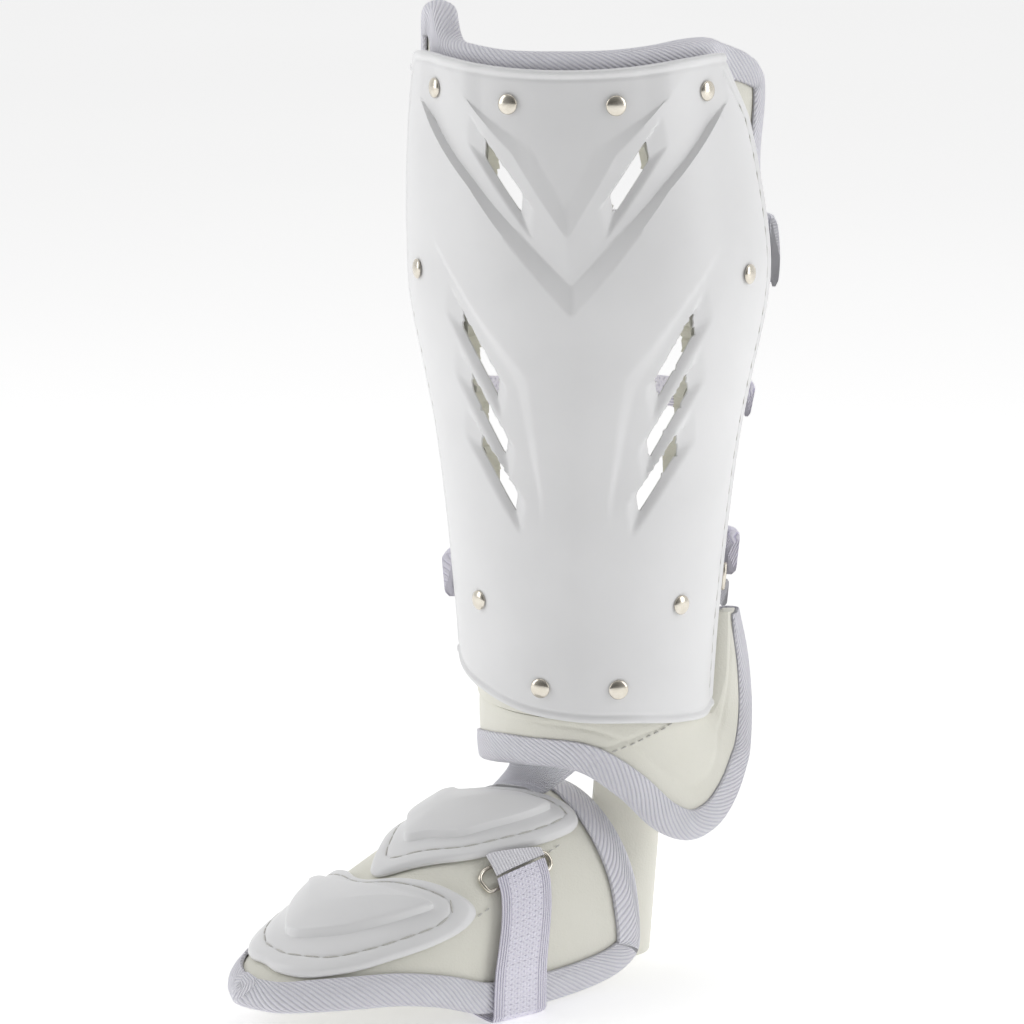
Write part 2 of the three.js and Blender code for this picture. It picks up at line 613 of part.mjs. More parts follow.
function footPlain(share, v) {
  const ridge = readEven(footRows, 'ridge', share);
  const edge = readEven(footRows, 'edge', share);
  const side = FOOT_HALF_WIDTH * readEven(footRows, 'side', share);
  const top = FOOT_HEIGHT * readEven(footRows, 'top', share);
  const low = FOOT_HEIGHT * readEven(footRows, 'low', share);
  const turn = rad(90 * Math.min(Math.abs(v), 1));
  const across = Math.sign(v) * side * Math.sin(turn) ** 0.92;
  const fall = Math.max(Math.cos(turn), 0);
  const lift = fall ** 0.8;
  const along = FOOT_LENGTH * mix(edge, ridge, fall ** 1.2);
  return footAlong.clone().multiplyScalar(along)
    .addScaledVector(footSide, across)
    .add(vec(0, -FOOT_FORWARD, FOOT_LIFT + mix(low, top, lift)));
}

function footPoint(share, v, out) {
  const point = footPlain(share, v);
  if (out === 0) return point;
  const e = 0.004;
  const du = footPlain(Math.min(share + e, 1), v).sub(footPlain(Math.max(share - e, 0), v));
  const w = clamp(v, -1 + e, 1 - e);
  const dv = footPlain(share, w + e).sub(footPlain(share, w - e));
  const normal = du.cross(dv).normalize();
  const away = point.clone().sub(footMiddle);
  if (normal.dot(away) < 0) normal.negate();
  return point.addScaledVector(normal, out);
}

footPoint.range = [[0, 1], [-1, 1]];

// ---- Build ----
const colours = {
  white_plastic: { color: 0xf1f1f3, roughness: 0.35, metalness: 0 },
  cream_leather: { color: 0xe3e0d5, roughness: 0.55, metalness: 0 },
  lavender_tape: { color: 0xe7e5f0, roughness: 0.85, metalness: 0 },
  white_webbing: { color: 0xeeeef2, roughness: 0.85, metalness: 0 },
  elastic: { color: 0xe2ddf2, roughness: 0.8, metalness: 0 },
  nickel: { color: 0xc9c2b4, roughness: 0.25, metalness: 1 },
};

const guard = new THREE.Group();
const body = new THREE.Group();
body.position.z = -LEG_MOUNT_HEIGHT;
guard.add(body);

function add(name, geometry, material) {
  geometry.computeVertexNormals();
  const mesh = new THREE.Mesh(geometry, new THREE.MeshStandardMaterial(colours[material]));
  mesh.name = name;
  body.add(mesh);
}

add('shin_shell', cutVents(shellSheet(24), SLOT_WIDTH, 40), 'white_plastic');
add('liner_pad', cutVents(sheet(linerFace(0), linerFace(-LINER_WALL), 22, 14),
  WINDOW_WIDTH, 60, WINDOW_OUT), 'cream_leather');
const linerGrown = sheet(linerFace(CLEAR), linerFace(-LINER_WALL - CLEAR), 22, 14);
add('top_binding', clearOf(tape(linerPath(), linerPoint, LINER_WALL), linerGrown), 'lavender_tape');

for (const rivet of rivets) {
  for (const side of [-1, 1]) {
    const seat = (out) => {
      const share = side * rivet.turn;
      return legPoint(share * SHELL_WRAP, shellRise(rivet.rise), out + relief(share, rivet.rise));
    };
    const cap = new THREE.LatheGeometry([
      new THREE.Vector2(0, 0), new THREE.Vector2(RIVET_RADIUS, 0),
      new THREE.Vector2(RIVET_RADIUS * 0.96, RIVET_HEIGHT * 0.4),
      new THREE.Vector2(RIVET_RADIUS * 0.6, RIVET_HEIGHT * 0.86),
      new THREE.Vector2(0, RIVET_HEIGHT),
    ], 10);
    const outward = seat(1).sub(seat(0)).normalize();
    const turn = new THREE.Quaternion().setFromUnitVectors(vec(0, 1, 0), outward);
    cap.applyMatrix4(new THREE.Matrix4().compose(seat(CLEAR + 0.3), turn, vec(1, 1, 1)));
    cap.deleteAttribute('normal');
    cap.deleteAttribute('uv');
    add(`rivet_${rivet.name}_${side < 0 ? 'left' : 'right'}`, mergeVertices(cap, 1e-4), 'nickel');
  }
}

const flapFace = (out) => (u, v) => flapPoint(u, v, out);
add('ankle_flap', sheet(flapFace(0), flapFace(-FLAP_WALL), 28, 4), 'cream_leather');
const flapPath = Array.from({ length: 29 }, (_, i) => [1 - i / 28, 0]);
const flapGrown = sheet(flapFace(CLEAR), flapFace(-FLAP_WALL - CLEAR), 28, 4);
add('ankle_binding', clearOf(tape(flapPath, flapPoint, FLAP_WALL), flapGrown), 'lavender_tape');

const FOOT_COLUMNS = 20;
const FOOT_ROWS = 12;
const rearShare = (round) => {
  const k = clamp((Math.abs(round) - 0.8) / 0.2, 0, 1);
  return FOOT_CORNER * (1 - Math.sqrt(1 - k * k));
};
const footFace = (out) => (u, v) => {
  const round = mix(-1, 1, v);
  return footPoint(mix(rearShare(round), 1, u), round, out);
};
const footAround = (out) => (u, v) => footFace(out)(u, v).addScaledVector(footAlong, 1.5 * CLEAR * smooth(0.8, 1, u));
const footGrown = () => sheet(footAround(CLEAR), footAround(-FOOT_WALL - CLEAR), FOOT_COLUMNS, FOOT_ROWS);
add('foot_pad', sheet(footFace(0), footFace(-FOOT_WALL), FOOT_COLUMNS, FOOT_ROWS), 'cream_leather');

// Foot binding: round the whole edge of the foot pad.
const footEdge = [];
const sideShares = Array.from({ length: FOOT_COLUMNS }, (_, i) => mix(FOOT_CORNER, 1, (i + 1) / FOOT_COLUMNS));
for (const share of sideShares) footEdge.push([share, 1]);
for (const share of sideShares.toReversed()) footEdge.push([share, -1]);
for (let i = 0; i <= FOOT_ROWS; i += 1) {
  const round = mix(-1, 1, i / FOOT_ROWS);
  footEdge.push([rearShare(round), round]);
}
add('foot_binding', clearOf(tape(footEdge, footPoint, FOOT_WALL, true), footGrown()),
  'lavender_tape');

// Plates: rings from the middle of the underside, round the rim, over the dome.
function plate(spec, farRear) {
  const near = spec.rows;
  const bounded = (along, limit) => (along > limit ? along : mix(limit, along, 0.2));
  const far = near.slice(1, -1).toReversed().map((row) => ({
    along: bounded(row.along, farRear),
    round: -row.round,
    domeAlong: bounded(row.domeAlong, farRear + 0.04),
    domeRound: -row.domeRound,
  }));
  const rows = [...near, ...far];
  const seat = 0.8;
  const ring = (toDome, scale, out) => rows.map((row) => {
    const along = mix(row.along, row.domeAlong, toDome);
    const round = mix(row.round, row.domeRound, toDome);
    return footPoint(mix(spec.middle, along, scale), round * scale, seat + out);
  });
  const top = PLATE_RIM;
  const rings = [
    ring(0, 0.02, 0), ring(0, 0.25, 0), ring(0, 0.5, 0), ring(0, 0.75, 0), ring(0, 1, 0),
    ring(0, 1, top * 0.55),
    ring(0.14, 1, top), ring(0.93, 1, top), ring(1, 0.93, top + PLATE_DOME * 0.62),
    ring(1, 0.5, top + PLATE_DOME), ring(1, 0.02, top + PLATE_DOME),
  ];
  return loft(rings);
}

// Band: each station gives the band's place for a share of the width and an offset outward.
function band(stations, wall, cuts = 3) {
  return loft(stations.map((place) => {
    const ring = [];
    for (let i = 0; i <= cuts; i += 1) ring.push(place(mix(-1, 1, i / cuts), wall));
    for (let i = cuts; i >= 0; i -= 1) ring.push(place(mix(-1, 1, i / cuts), 0));
    return ring;
  }));
}

// Wire along a closed or open list of points, with a way that faces out from what it lies on.
function wire(points, outs, closed) {
  const last = points.length - 1;
  const rings = points.map((p, i) => {
    const before = points[closed ? (i + last) % (last + 1) : Math.max(i - 1, 0)];
    const after = points[closed ? (i + 1) % (last + 1) : Math.min(i + 1, last)];
    const along = after.clone().sub(before).normalize();
    const out = outs[i].clone().addScaledVector(along, -outs[i].dot(along)).normalize();
    const side = along.clone().cross(out);
    return [0, 60, 120, 180, 240, 300].map((a) => p.clone()
      .addScaledVector(out, (WIRE / 2) * Math.cos(rad(a)))
      .addScaledVector(side, (WIRE / 2) * Math.sin(rad(a))));
  });
  return loft(rings, closed);
}

add('instep_plate', clearOf(plate(platePoints.instep, 0.28), footGrown()), 'white_plastic');
add('toe_plate', clearOf(plate(platePoints.toe, 0.585), footGrown()), 'white_plastic');

// Sole strap: down one side of the foot pad, across under it and up the other side.
const strapHalf = STRAP_WIDTH / 2 / (FOOT_LENGTH * 1.38);
const strapAlong = (v) => mix(0.325, 0.385, smooth(0.5, 1, Math.abs(v)));
const strapSide = (v) => (k, out) => footPoint(strapAlong(v) + k * strapHalf, v, STRAP_OVER + out);
function strapUnder(sign, inward, raise) {
  return (k, out) => {
    const edge = footPoint(strapAlong(1) + k * strapHalf, sign, STRAP_OVER);
    const z = raise > 0 ? raise : FOOT_LIFT / 2 - out;
    const side = raise > 0 ? out : 0;
    return edge.addScaledVector(footSide, sign * (side - inward)).setZ(z);
  };
}
const sideTurns = [0.515, 0.6, 0.7, 0.8, 0.9, 1];
const strapStations = [
  ...sideTurns.map((v) => strapSide(v)),
  strapUnder(1, 0.3, FOOT_LIFT / 2 + 0.8), strapUnder(1, 3, 0), strapUnder(1, 24, 0),
  strapUnder(-1, 24, 0), strapUnder(-1, 3, 0), strapUnder(-1, 0.3, FOOT_LIFT / 2 + 0.8),
  ...sideTurns.toReversed().map((v) => strapSide(-v)),
];
add('sole_strap', band(strapStations, STRAP_WALL), 'elastic');

// Webbing loop over the strap's upper end, and the wire ring that lies behind both.
const loopTop = (along) => mix(0.470, 0.385, clamp((along - 0.265) / 0.12, 0, 1));
const loopStations = [0, 0.5, 1].map((step) => (k, out) => {
  const along = 0.325 + k * strapHalf;
  return footPoint(along, mix(loopTop(along), 0.502, step), STRAP_OVER + out);
});
add('strap_loop', band(loopStations, STRAP_WALL * 1.7, 4), 'white_webbing');
const ringPath = [
  [0.262, 0.482], [0.30, 0.470], [0.34, 0.455], [0.385, 0.440], [0.402, 0.450], [0.410, 0.480],
  [0.405, 0.535], [0.395, 0.555], [0.36, 0.555], [0.32, 0.565], [0.28, 0.575], [0.258, 0.560],
  [0.252, 0.520],
];
const onPad = (out) => ringPath.map(([along, round]) => footPoint(along, round, out));
add('strap_hook', wire(onPad(CLEAR + WIRE / 2 + 0.1), onPad(3).map((p, i) => p.sub(onPad(0)[i])), true),
  'nickel');

// Link strap: sewn inside the flap's lower edge, down to the foot pad behind the instep plate.
const LINK_BACK = FLAP_WALL + TAPE + TAPE_CLEAR + 3 * CLEAR + STRAP_WALL;
const linkFlap = (v) => (k, out) => flapPoint(0.145 + 0.08 * k, v, out - LINK_BACK);
const linkPad = (rear, slant) => (k, out) => footPoint(rear - slant * k, -0.08 + 0.2 * k, CLEAR + 0.2 + out);
const linkStations = [linkFlap(0.30), linkFlap(-0.02), linkFlap(-0.25), linkPad(0.165, 0.035), linkPad(0.1975, 0.0325)];
add('link_strap', band(linkStations, STRAP_WALL, 6), 'white_webbing');

// Ankle wall: leather round the inner ankle, from inside the foot pad's rear edge to the heel.
const wallRows = [
  { x: 0.02, y: -0.66, topX: 0.14, topY: -0.52 },
  { x: 0.20, y: -0.55, topX: 0.38, topY: -0.47 },
  { x: 0.42, y: -0.43, topX: 0.60, topY: -0.36 },
  { x: 0.56, y: -0.28, topX: 0.70, topY: -0.22 },
  { x: 0.60, y: -0.10, topX: 0.74, topY: -0.06 },
  { x: 0.56, y: 0.08, topX: 0.70, topY: 0.12 },
  { x: 0.44, y: 0.24, topX: 0.58, topY: 0.30 },
];
function wallPoint(share, v, out) {
  const place = (u) => vec(FLAP_RADIUS * mix(readEven(wallRows, 'x', u), readEven(wallRows, 'topX', u), v),
    FLAP_RADIUS * mix(readEven(wallRows, 'y', u), readEven(wallRows, 'topY', u), v) - WALL_FORWARD, 0);
  const along = place(Math.min(share + 0.01, 1)).sub(place(Math.max(share - 0.01, 0))).normalize();
  const point = place(share).addScaledVector(vec(along.y, -along.x, 0), out);
  return point.setZ(mix(FOOT_LIFT, FOOT_LIFT + WALL_HEIGHT, v));
}
const wallFace = (out) => (u, v) => wallPoint(u, v, out);
add('ankle_wall', sheet(wallFace(0), wallFace(-WALL_SHEET), 14, 3), 'cream_leather');

// Straps behind the leg. The right end lies over the binding of the lining's side edge; so does the
// left end of the low strap, and the left ends of the others are sewn inside the lining.
const overTape = TAPE + TAPE_CLEAR + TAPE_PUFF + CLEAR;
const outside = linerOut + LINER_SWELL + overTape;
const inside = linerOut - LINER_WALL - overTape - 2 * STRAP_WALL;
function legStrap(spec) {
  const steps = Math.ceil((spec.toTurn - spec.fromTurn) / 8);
  const stations = Array.from({ length: steps + 1 }, (_, i) => (k, out) => {
    const share = i / steps;
    const turn = mix(spec.fromTurn, spec.toTurn, share);
    const back = spec.round ? smooth(0.07, 0.3, share) * smooth(0.93, 0.7, share) : 0;
    const z = shellRise(mix(spec.fromRise, spec.toRise, share)) + (k * spec.width) / 2 - STRAP_SAG * back;
    const lift = mix(outside, spec.leftOut, smooth(0.82, 0.95, share)) - STRAP_SLACK * back;
    const end = 1 - smooth(0.03, 0.1, Math.min(share, 1 - share));
    return legPoint(turn, z, lift + out * (1 + spec.fold * end));
  });
  return band(stations, STRAP_WALL, 1);
}
add('leg_strap_upper', legStrap({ fromTurn: 90, toTurn: 272, fromRise: 0.70, toRise: 0.70,
  width: CALF_STRAP_WIDTH, fold: 1, leftOut: inside, round: true }), 'white_webbing');
add('leg_strap_middle', legStrap({ fromTurn: 90, toTurn: 272, fromRise: 0.465, toRise: 0.465,
  width: MIDDLE_STRAP_WIDTH, fold: 0.6, leftOut: inside, round: true }), 'elastic');
add('leg_strap_lower', legStrap({ fromTurn: 90, toTurn: 270, fromRise: 0.2225, toRise: 0.176,
  width: LOW_STRAP_WIDTH, fold: 2.2, leftOut: outside, round: true }), 'elastic');
add('lower_web_loop', legStrap({ fromTurn: 90, toTurn: 110, fromRise: 0.158, toRise: 0.153,
  width: HOOK_WEB_WIDTH, fold: 0.8, leftOut: outside, round: false }), 'white_webbing');

// Wire hook that joins the webbing to the low strap, just behind the shell's right edge.
const hookOut = outside + WIRE / 2;
const hookPath = [0, 45, 90, 135, 180, 225, 270, 315].map((a) => [
  86.6 + 1.9 * Math.cos(rad(a)), shellRise(0.188) + 5.4 * Math.sin(rad(a))]);
const onLining = (out) => hookPath.map(([turn, z]) => legPoint(turn, z, out));
const hookPoints = onLining(hookOut);
const hookOuts = onLining(hookOut + 3).map((p, i) => p.sub(hookPoints[i]));
add('leg_hook', wire(hookPoints, hookOuts, true), 'nickel');

export default guard;
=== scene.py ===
# %% [markdown]
# # A batter's leg guard
# A white moulded shell guards the shin, on a cream padded lining whose edges are bound with tape.
# Below it hang an ankle flap and a foot guard with two small plates, held by an elastic strap.
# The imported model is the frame: each soft or finely shaped piece is built again over its solid.

# %% Load the frame
import math

import bpy
import numpy as np
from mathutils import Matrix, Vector


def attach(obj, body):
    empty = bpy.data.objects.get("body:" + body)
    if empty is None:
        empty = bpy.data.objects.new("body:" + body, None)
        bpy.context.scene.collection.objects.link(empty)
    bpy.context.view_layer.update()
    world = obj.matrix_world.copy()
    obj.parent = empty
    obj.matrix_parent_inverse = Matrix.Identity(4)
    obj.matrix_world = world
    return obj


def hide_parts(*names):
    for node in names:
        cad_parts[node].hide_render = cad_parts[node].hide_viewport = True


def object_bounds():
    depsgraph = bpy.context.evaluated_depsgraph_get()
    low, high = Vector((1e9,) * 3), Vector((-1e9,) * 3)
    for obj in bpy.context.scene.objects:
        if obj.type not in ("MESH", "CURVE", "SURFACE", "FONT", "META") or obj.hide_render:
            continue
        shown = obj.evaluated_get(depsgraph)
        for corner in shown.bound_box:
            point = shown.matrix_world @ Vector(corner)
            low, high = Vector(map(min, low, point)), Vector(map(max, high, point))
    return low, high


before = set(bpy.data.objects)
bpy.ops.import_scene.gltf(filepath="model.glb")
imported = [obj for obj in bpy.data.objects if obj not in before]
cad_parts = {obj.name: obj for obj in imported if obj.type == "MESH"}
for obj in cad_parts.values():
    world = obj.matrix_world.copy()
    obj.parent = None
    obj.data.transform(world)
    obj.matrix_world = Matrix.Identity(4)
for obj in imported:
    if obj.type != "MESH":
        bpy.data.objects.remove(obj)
cad_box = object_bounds()
scene = bpy.context.scene
print("pieces in the frame:", len(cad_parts))

# %% [markdown]
# The camera looks slightly down and a little from the left of the shin, from 1.6 metres away.
# The picture is square, so the lens length follows from how wide the view is at that distance.

# %% Camera
LEG_MIDDLE = 230.0  # height of the row's origin over the floor, in millimetres


def to_row(points):
    """Millimetres over the floor to metres in the row frame."""
    return (np.asarray(points, float) - (0, 0, LEG_MIDDLE)) / 1000


view_turn, view_dip, view_distance = math.radians(6), math.radians(12), 1600.0
ahead = np.array([-math.sin(view_turn) * math.cos(view_dip),
                  math.cos(view_turn) * math.cos(view_dip), -math.sin(view_dip)])
right = np.array([math.cos(view_turn), math.sin(view_turn), 0.0])
aim = np.array([0, 0, 197.0]) - right * 33.0
camera_data = bpy.data.cameras.new("camera")
camera_data.sensor_width = 36
camera_data.lens = 36 * 2.33 * view_distance / 1024
camera = bpy.data.objects.new("camera", camera_data)
camera.location = to_row(aim - ahead * view_distance)
camera.rotation_euler = Vector(ahead).to_track_quat("-Z", "Y").to_euler()
scene.collection.objects.link(camera)
scene.camera = camera
print("lens", round(camera_data.lens, 1))

# %% [markdown]
# The guard's surfaces follow short tables of sections. Each table holds shares of a few named
# sizes, and a rounded curve runs through its rows. The same numbers shaped the solids.

# %% Reading a table of sections
def table(columns, *rows):
    data = np.array(rows, float)
    return {name: data[:, i] for i, name in enumerate(columns.split())}


def read(rows, key, column, x):
    """A column's value at x, on a rounded curve through the rows."""
    k, c = rows[key], rows[column]
    last = len(k) - 1
    x = np.clip(x, k[0], k[last])
    i = np.clip(np.searchsorted(k, x, side="left") - 1, 0, last - 1)

    def slope(j):
        lo, hi = np.maximum(j - 1, 0), np.minimum(j + 1, last)
        return (c[hi] - c[lo]) / (k[hi] - k[lo])

    step = k[i + 1] - k[i]
    t = (x - k[i]) / step
    return ((2 * t**3 - 3 * t**2 + 1) * c[i] + (t**3 - 2 * t**2 + t) * step * slope(i)
            + (3 * t**2 - 2 * t**3) * c[i + 1] + (t**3 - t**2) * step * slope(i + 1))


def read_even(rows, column, share):
    count = len(rows[column])
    return read({**rows, "place": np.linspace(0, 1, count)}, "place", column, share)


def mix(a, b, k):
    return a + (b - a) * k


def between(rows, first, second, share, k):
    """Part of the way from one column's value to another's, at a share of the rows."""
    return mix(read_even(rows, first, share), read_even(rows, second, share), k)


def smooth(lo, hi, x):
    k = np.clip((x - lo) / (hi - lo), 0, 1)
    return k * k * (3 - 2 * k)


def vectors(x, y, z):
    return np.stack(np.broadcast_arrays(x, y, z), axis=-1).astype(float)


# %% The leg's own surface
SHELL_BOTTOM, SHELL_HEIGHT = 120.0, 272.0
SHELL_HALF_WIDTH, SHELL_DEPTH, SHELL_WALL, SHELL_WRAP = 77.0, 74.0, 3.0, 83.0
RELIEF = 3.4
CLEAR = 0.3

shell_sections = table(
    "up half front middle lean",
    (-0.05, 0.705, 0.815, 3, 0), (0.00, 0.708, 0.820, 2.5, 0), (0.07, 0.722, 0.840, 1.2, 0),
    (0.13, 0.736, 0.855, 0.5, 0), (0.28, 0.785, 0.895, 0, 0), (0.42, 0.845, 0.935, 0, 0),
    (0.52, 0.910, 0.965, 0, 0), (0.58, 0.955, 0.980, -0.3, 0), (0.64, 0.990, 0.995, -1, 0),
    (0.70, 1.000, 1.000, -1.5, 0), (0.78, 0.985, 0.995, -1.8, -0.018),
    (0.89, 0.945, 0.975, -1.4, -0.048), (1.00, 0.905, 0.950, -2.0, -0.060),
    (1.10, 0.905, 0.935, -2.2, -0.063))
shell_edges = table(
    "turn low high",
    (-1.00, 0.062, 0.985), (-0.88, 0.046, 1.012), (-0.60, 0.028, 1.012),
    (-0.30, 0.008, 1.003), (0.00, 0.000, 1.000), (0.30, -0.006, 1.004),
    (0.60, -0.018, 1.014), (0.88, -0.027, 1.012), (1.00, -0.018, 0.980))
# The shell's upper right corner is cut in: share of its wrap that the right edge reaches.
right_edge = table("rise reach", (0.00, 1.0), (0.84, 1.0), (0.91, 0.965), (0.95, 0.885),
                   (0.98, 0.825), (1.02, 0.760))


def shell_rise(share):
    return SHELL_BOTTOM + SHELL_HEIGHT * share


def leg_point(turn, z, out):
    """A point on the shell's plain outer face, by turn from the keel, height and offset."""
    up = (z - SHELL_BOTTOM) / SHELL_HEIGHT
    half = SHELL_HALF_WIDTH * read(shell_sections, "up", "half", up) + out
    front = SHELL_DEPTH * read(shell_sections, "up", "front", up) + out
    keel = read(shell_sections, "up", "middle", up) * np.cos(np.radians(turn * 0.9)) ** 2
    lean = SHELL_HALF_WIDTH * read(shell_sections, "up", "lean", up)
    angle = np.radians(turn + keel)
    return vectors(lean + half * np.sin(angle), -front * np.cos(angle), z)


def side_reach(share, rise):
    """Share of the wrap that the shell reaches on the side of a share, at a rise."""
    return np.where(np.asarray(share) > 0, read(right_edge, "rise", "reach", rise), 1.0)


print("shell width at the calf", round(2 * float(leg_point(90.0, shell_rise(0.7), 0)[0])), "mm")

# %% [markdown]
# A piece's mesh is a net of points. The helpers below join a net into a closed skin, give it a
# UV map in millimetres of cloth, so that ribs and weave follow the piece, and hand it over.

# %% Making a piece from a net of points
pieces = []


def piece(name, points, faces, material, uv=None, sharp=40.0):
    mesh = bpy.data.meshes.new(name)
    mesh.from_pydata(to_row(points).tolist(), [], [list(map(int, f)) for f in faces])
    mesh.validate()
    if uv is not None:
        layer = mesh.uv_layers.new(name="cloth")
        corner = np.zeros(len(mesh.loops), int)
        mesh.loops.foreach_get("vertex_index", corner)
        layer.data.foreach_set("uv", np.asarray(uv, float)[corner].ravel())
    mesh.shade_smooth()
    mesh.set_sharp_from_angle(angle=math.radians(sharp))
    made = bpy.data.objects.new(name, mesh)
    scene.collection.objects.link(made)
    mesh.materials.append(material)
    pieces.append(made)
    print(f"{name}: {sum(len(f) - 2 for f in faces)} triangles")
    return made


def outward(points, faces):
    """The faces turned so that the closed skin's volume is positive."""
    p = np.asarray(points, float)
    tri = np.array([(f[0], f[i], f[i + 1]) for f in faces for i in range(1, len(f) - 1)])
    a, b, c = p[tri[:, 0]], p[tri[:, 1]], p[tri[:, 2]]
    total = np.einsum("ij,ij->i", a, np.cross(b, c)).sum()
    return [tuple(reversed(f)) for f in faces] if total < 0 else faces


def skin(rings, closed=False):
    """Points, faces and UV of a skin over rings that each close on themselves."""
    rings = np.asarray(rings, float)
    count, around = rings.shape[:2]
    points = rings.reshape(-1, 3)
    faces = []
    for i in range(count if closed else count - 1):
        a, b = i * around, ((i + 1) % count) * around
        faces += [(a + j, a + (j + 1) % around, b + (j + 1) % around, b + j)
                  for j in range(around)]
    if not closed:
        faces += [tuple(range(around))[::-1], tuple(range((count - 1) * around, count * around))]
    along = np.r_[0, np.cumsum(np.linalg.norm(np.diff(rings.mean(1), axis=0), axis=1))]
    side = np.linalg.norm(np.diff(rings, axis=1), axis=2).mean(0)
    across = np.r_[0, np.cumsum(side)]
    uv = np.stack(np.meshgrid(along, across, indexing="ij"), -1).reshape(-1, 2)
    return points, outward(points, faces), uv


def net_sheet(front, back, keep=None):
    """Points and faces of a sheet between two nets, with holes where keep is false."""
    rows, columns = front.shape[:2]
    points = np.concatenate([front.reshape(-1, 3), back.reshape(-1, 3)])
    half = rows * columns
    keep = np.ones((rows - 1, columns - 1), bool) if keep is None else keep
    at = np.arange(half).reshape(rows, columns)
    i, j = np.nonzero(keep)
    quads = np.stack([at[i, j], at[i, j + 1], at[i + 1, j + 1], at[i + 1, j]], 1)
    edges = {}
    for q in quads:
        for k in range(4):
            e = (int(q[k]), int(q[(k + 1) % 4]))
            if (e[1], e[0]) in edges:
                del edges[(e[1], e[0])]
            else:
                edges[e] = True
    faces = [tuple(q) for q in quads] + [tuple(q[::-1] + half) for q in quads]
    faces += [(b, a, a + half, b + half) for a, b in edges]
    used = np.unique(np.array([v for f in faces for v in f]))
    index = np.full(2 * half, -1)
    index[used] = np.arange(len(used))
    faces = [tuple(int(index[v]) for v in f) for f in faces]
    return points[used], outward(points[used], faces)


def skinned(name, rings, material, sharp=40.0, closed=False, cloth=True):
    points, faces, uv = skin(rings, closed)
    return piece(name, points, faces, material, uv if cloth else None, sharp)


def walled(name, front, back, material, sharp=50.0, keep=None):
    points, faces = net_sheet(front, back, keep)
    return piece(name, points, faces, material, sharp=sharp)


# %% [markdown]
# Every finish is made of nodes. Coordinates come from the piece itself: Object coordinates for
# leather and plastic, and the cloth UV map, in millimetres, for tape, webbing and elastic.

# %% Helpers for the finishes
class Finish:
    """A material with a Principled shader, and short ways to add nodes to it."""

    def __init__(self, name, colour, roughness, **sockets):
        self.material = bpy.data.materials.new(name)
        self.material.use_nodes = True
        self.tree = self.material.node_tree
        self.shader = self.tree.nodes["Principled BSDF"]
        self.shader.inputs["Base Color"].default_value = (*colour, 1)
        self.shader.inputs["Roughness"].default_value = roughness
        for key, value in sockets.items():
            self.shader.inputs[key.replace("_", " ")].default_value = value
        self.coordinates = self.tree.nodes.new("ShaderNodeTexCoord")

    def node(self, kind, **settings):
        made = self.tree.nodes.new(kind)
        for key, value in settings.items():
            if key in made.inputs:
                made.inputs[key].default_value = value
            else:
                setattr(made, key, value)
        return made

    def link(self, source, target):
        self.tree.links.new(source, target)

    def sum(self, operation, a, b=None, c=None):
        made = self.node("ShaderNodeMath", operation=operation)
        for socket, value in zip(made.inputs, (a, b, c)):
            if isinstance(value, (int, float)):
                socket.default_value = value
            elif value is not None:
                self.link(value, socket)
        return made.outputs[0]

    def noise(self, scale, detail=3.0):
        made = self.node("ShaderNodeTexNoise", Scale=scale, Detail=detail)
        self.link(self.coordinates.outputs["Object"], made.inputs["Vector"])
        return made.outputs["Fac"]

    def cells(self, scale):
        made = self.node("ShaderNodeTexVoronoi", Scale=scale)
        self.link(self.coordinates.outputs["Object"], made.inputs["Vector"])
        return made.outputs["Distance"]

    def cloth(self):
        """The two cloth coordinates, along and across, in millimetres."""
        split = self.node("ShaderNodeSeparateXYZ")
        self.link(self.coordinates.outputs["UV"], split.inputs[0])
        return split.outputs[0], split.outputs[1]

    def tint(self, fac, low, high):
        ramp = self.node("ShaderNodeValToRGB")
        ramp.color_ramp.elements[0].color = (*low, 1)
        ramp.color_ramp.elements[1].color = (*high, 1)
        ramp.color_ramp.elements[0].position = 0.25
        ramp.color_ramp.elements[1].position = 0.75
        self.link(fac, ramp.inputs[0])
        self.link(ramp.outputs[0], self.shader.inputs["Base Color"])

    def rough(self, fac, low, high):
        ramp = self.node("ShaderNodeMapRange")
        ramp.inputs["To Min"].default_value = low
        ramp.inputs["To Max"].default_value = high
        self.link(fac, ramp.inputs["Value"])
        self.link(ramp.outputs[0], self.shader.inputs["Roughness"])

    def wave(self, value, rate):
        return self.sum("SINE", self.sum("MULTIPLY", value, rate))

    def ribs(self, value, rate):
        return self.sum("ABSOLUTE", self.wave(value, rate))

    def bump(self, height, depth, before=None):
        """A bump whose height runs over the given depth, in metres."""
        made = self.node("ShaderNodeBump", Strength=1.0, Distance=depth)
        self.link(height, made.inputs["Height"])
        if before is not None:
            self.link(before, made.inputs["Normal"])
        self.link(made.outputs[0], self.shader.inputs["Normal"])
        return made.outputs[0]


# %% Finishes of the hard pieces
def moulded_plastic():
    finish = Finish("moulded_plastic", (0.80, 0.80, 0.81), 0.36, IOR=1.49, Coat_Weight=0.12,
                    Coat_Roughness=0.2)
    finish.tint(finish.noise(26, 4), (0.775, 0.775, 0.78), (0.82, 0.82, 0.825))
    finish.rough(finish.noise(140, 5), 0.32, 0.44)
    fine = finish.bump(finish.noise(900, 3), 0.00002)
    finish.bump(finish.noise(45, 2), 0.00012, fine)
    return finish.material


def nickel_plate():
    finish = Finish("nickel_plate", (0.72, 0.67, 0.58), 0.2, Metallic=1.0)
    finish.tint(finish.noise(300, 3), (0.66, 0.61, 0.52), (0.78, 0.74, 0.66))
    finish.rough(finish.noise(900, 4), 0.12, 0.3)
    finish.bump(finish.noise(2600, 2), 0.000008)
    return finish.material


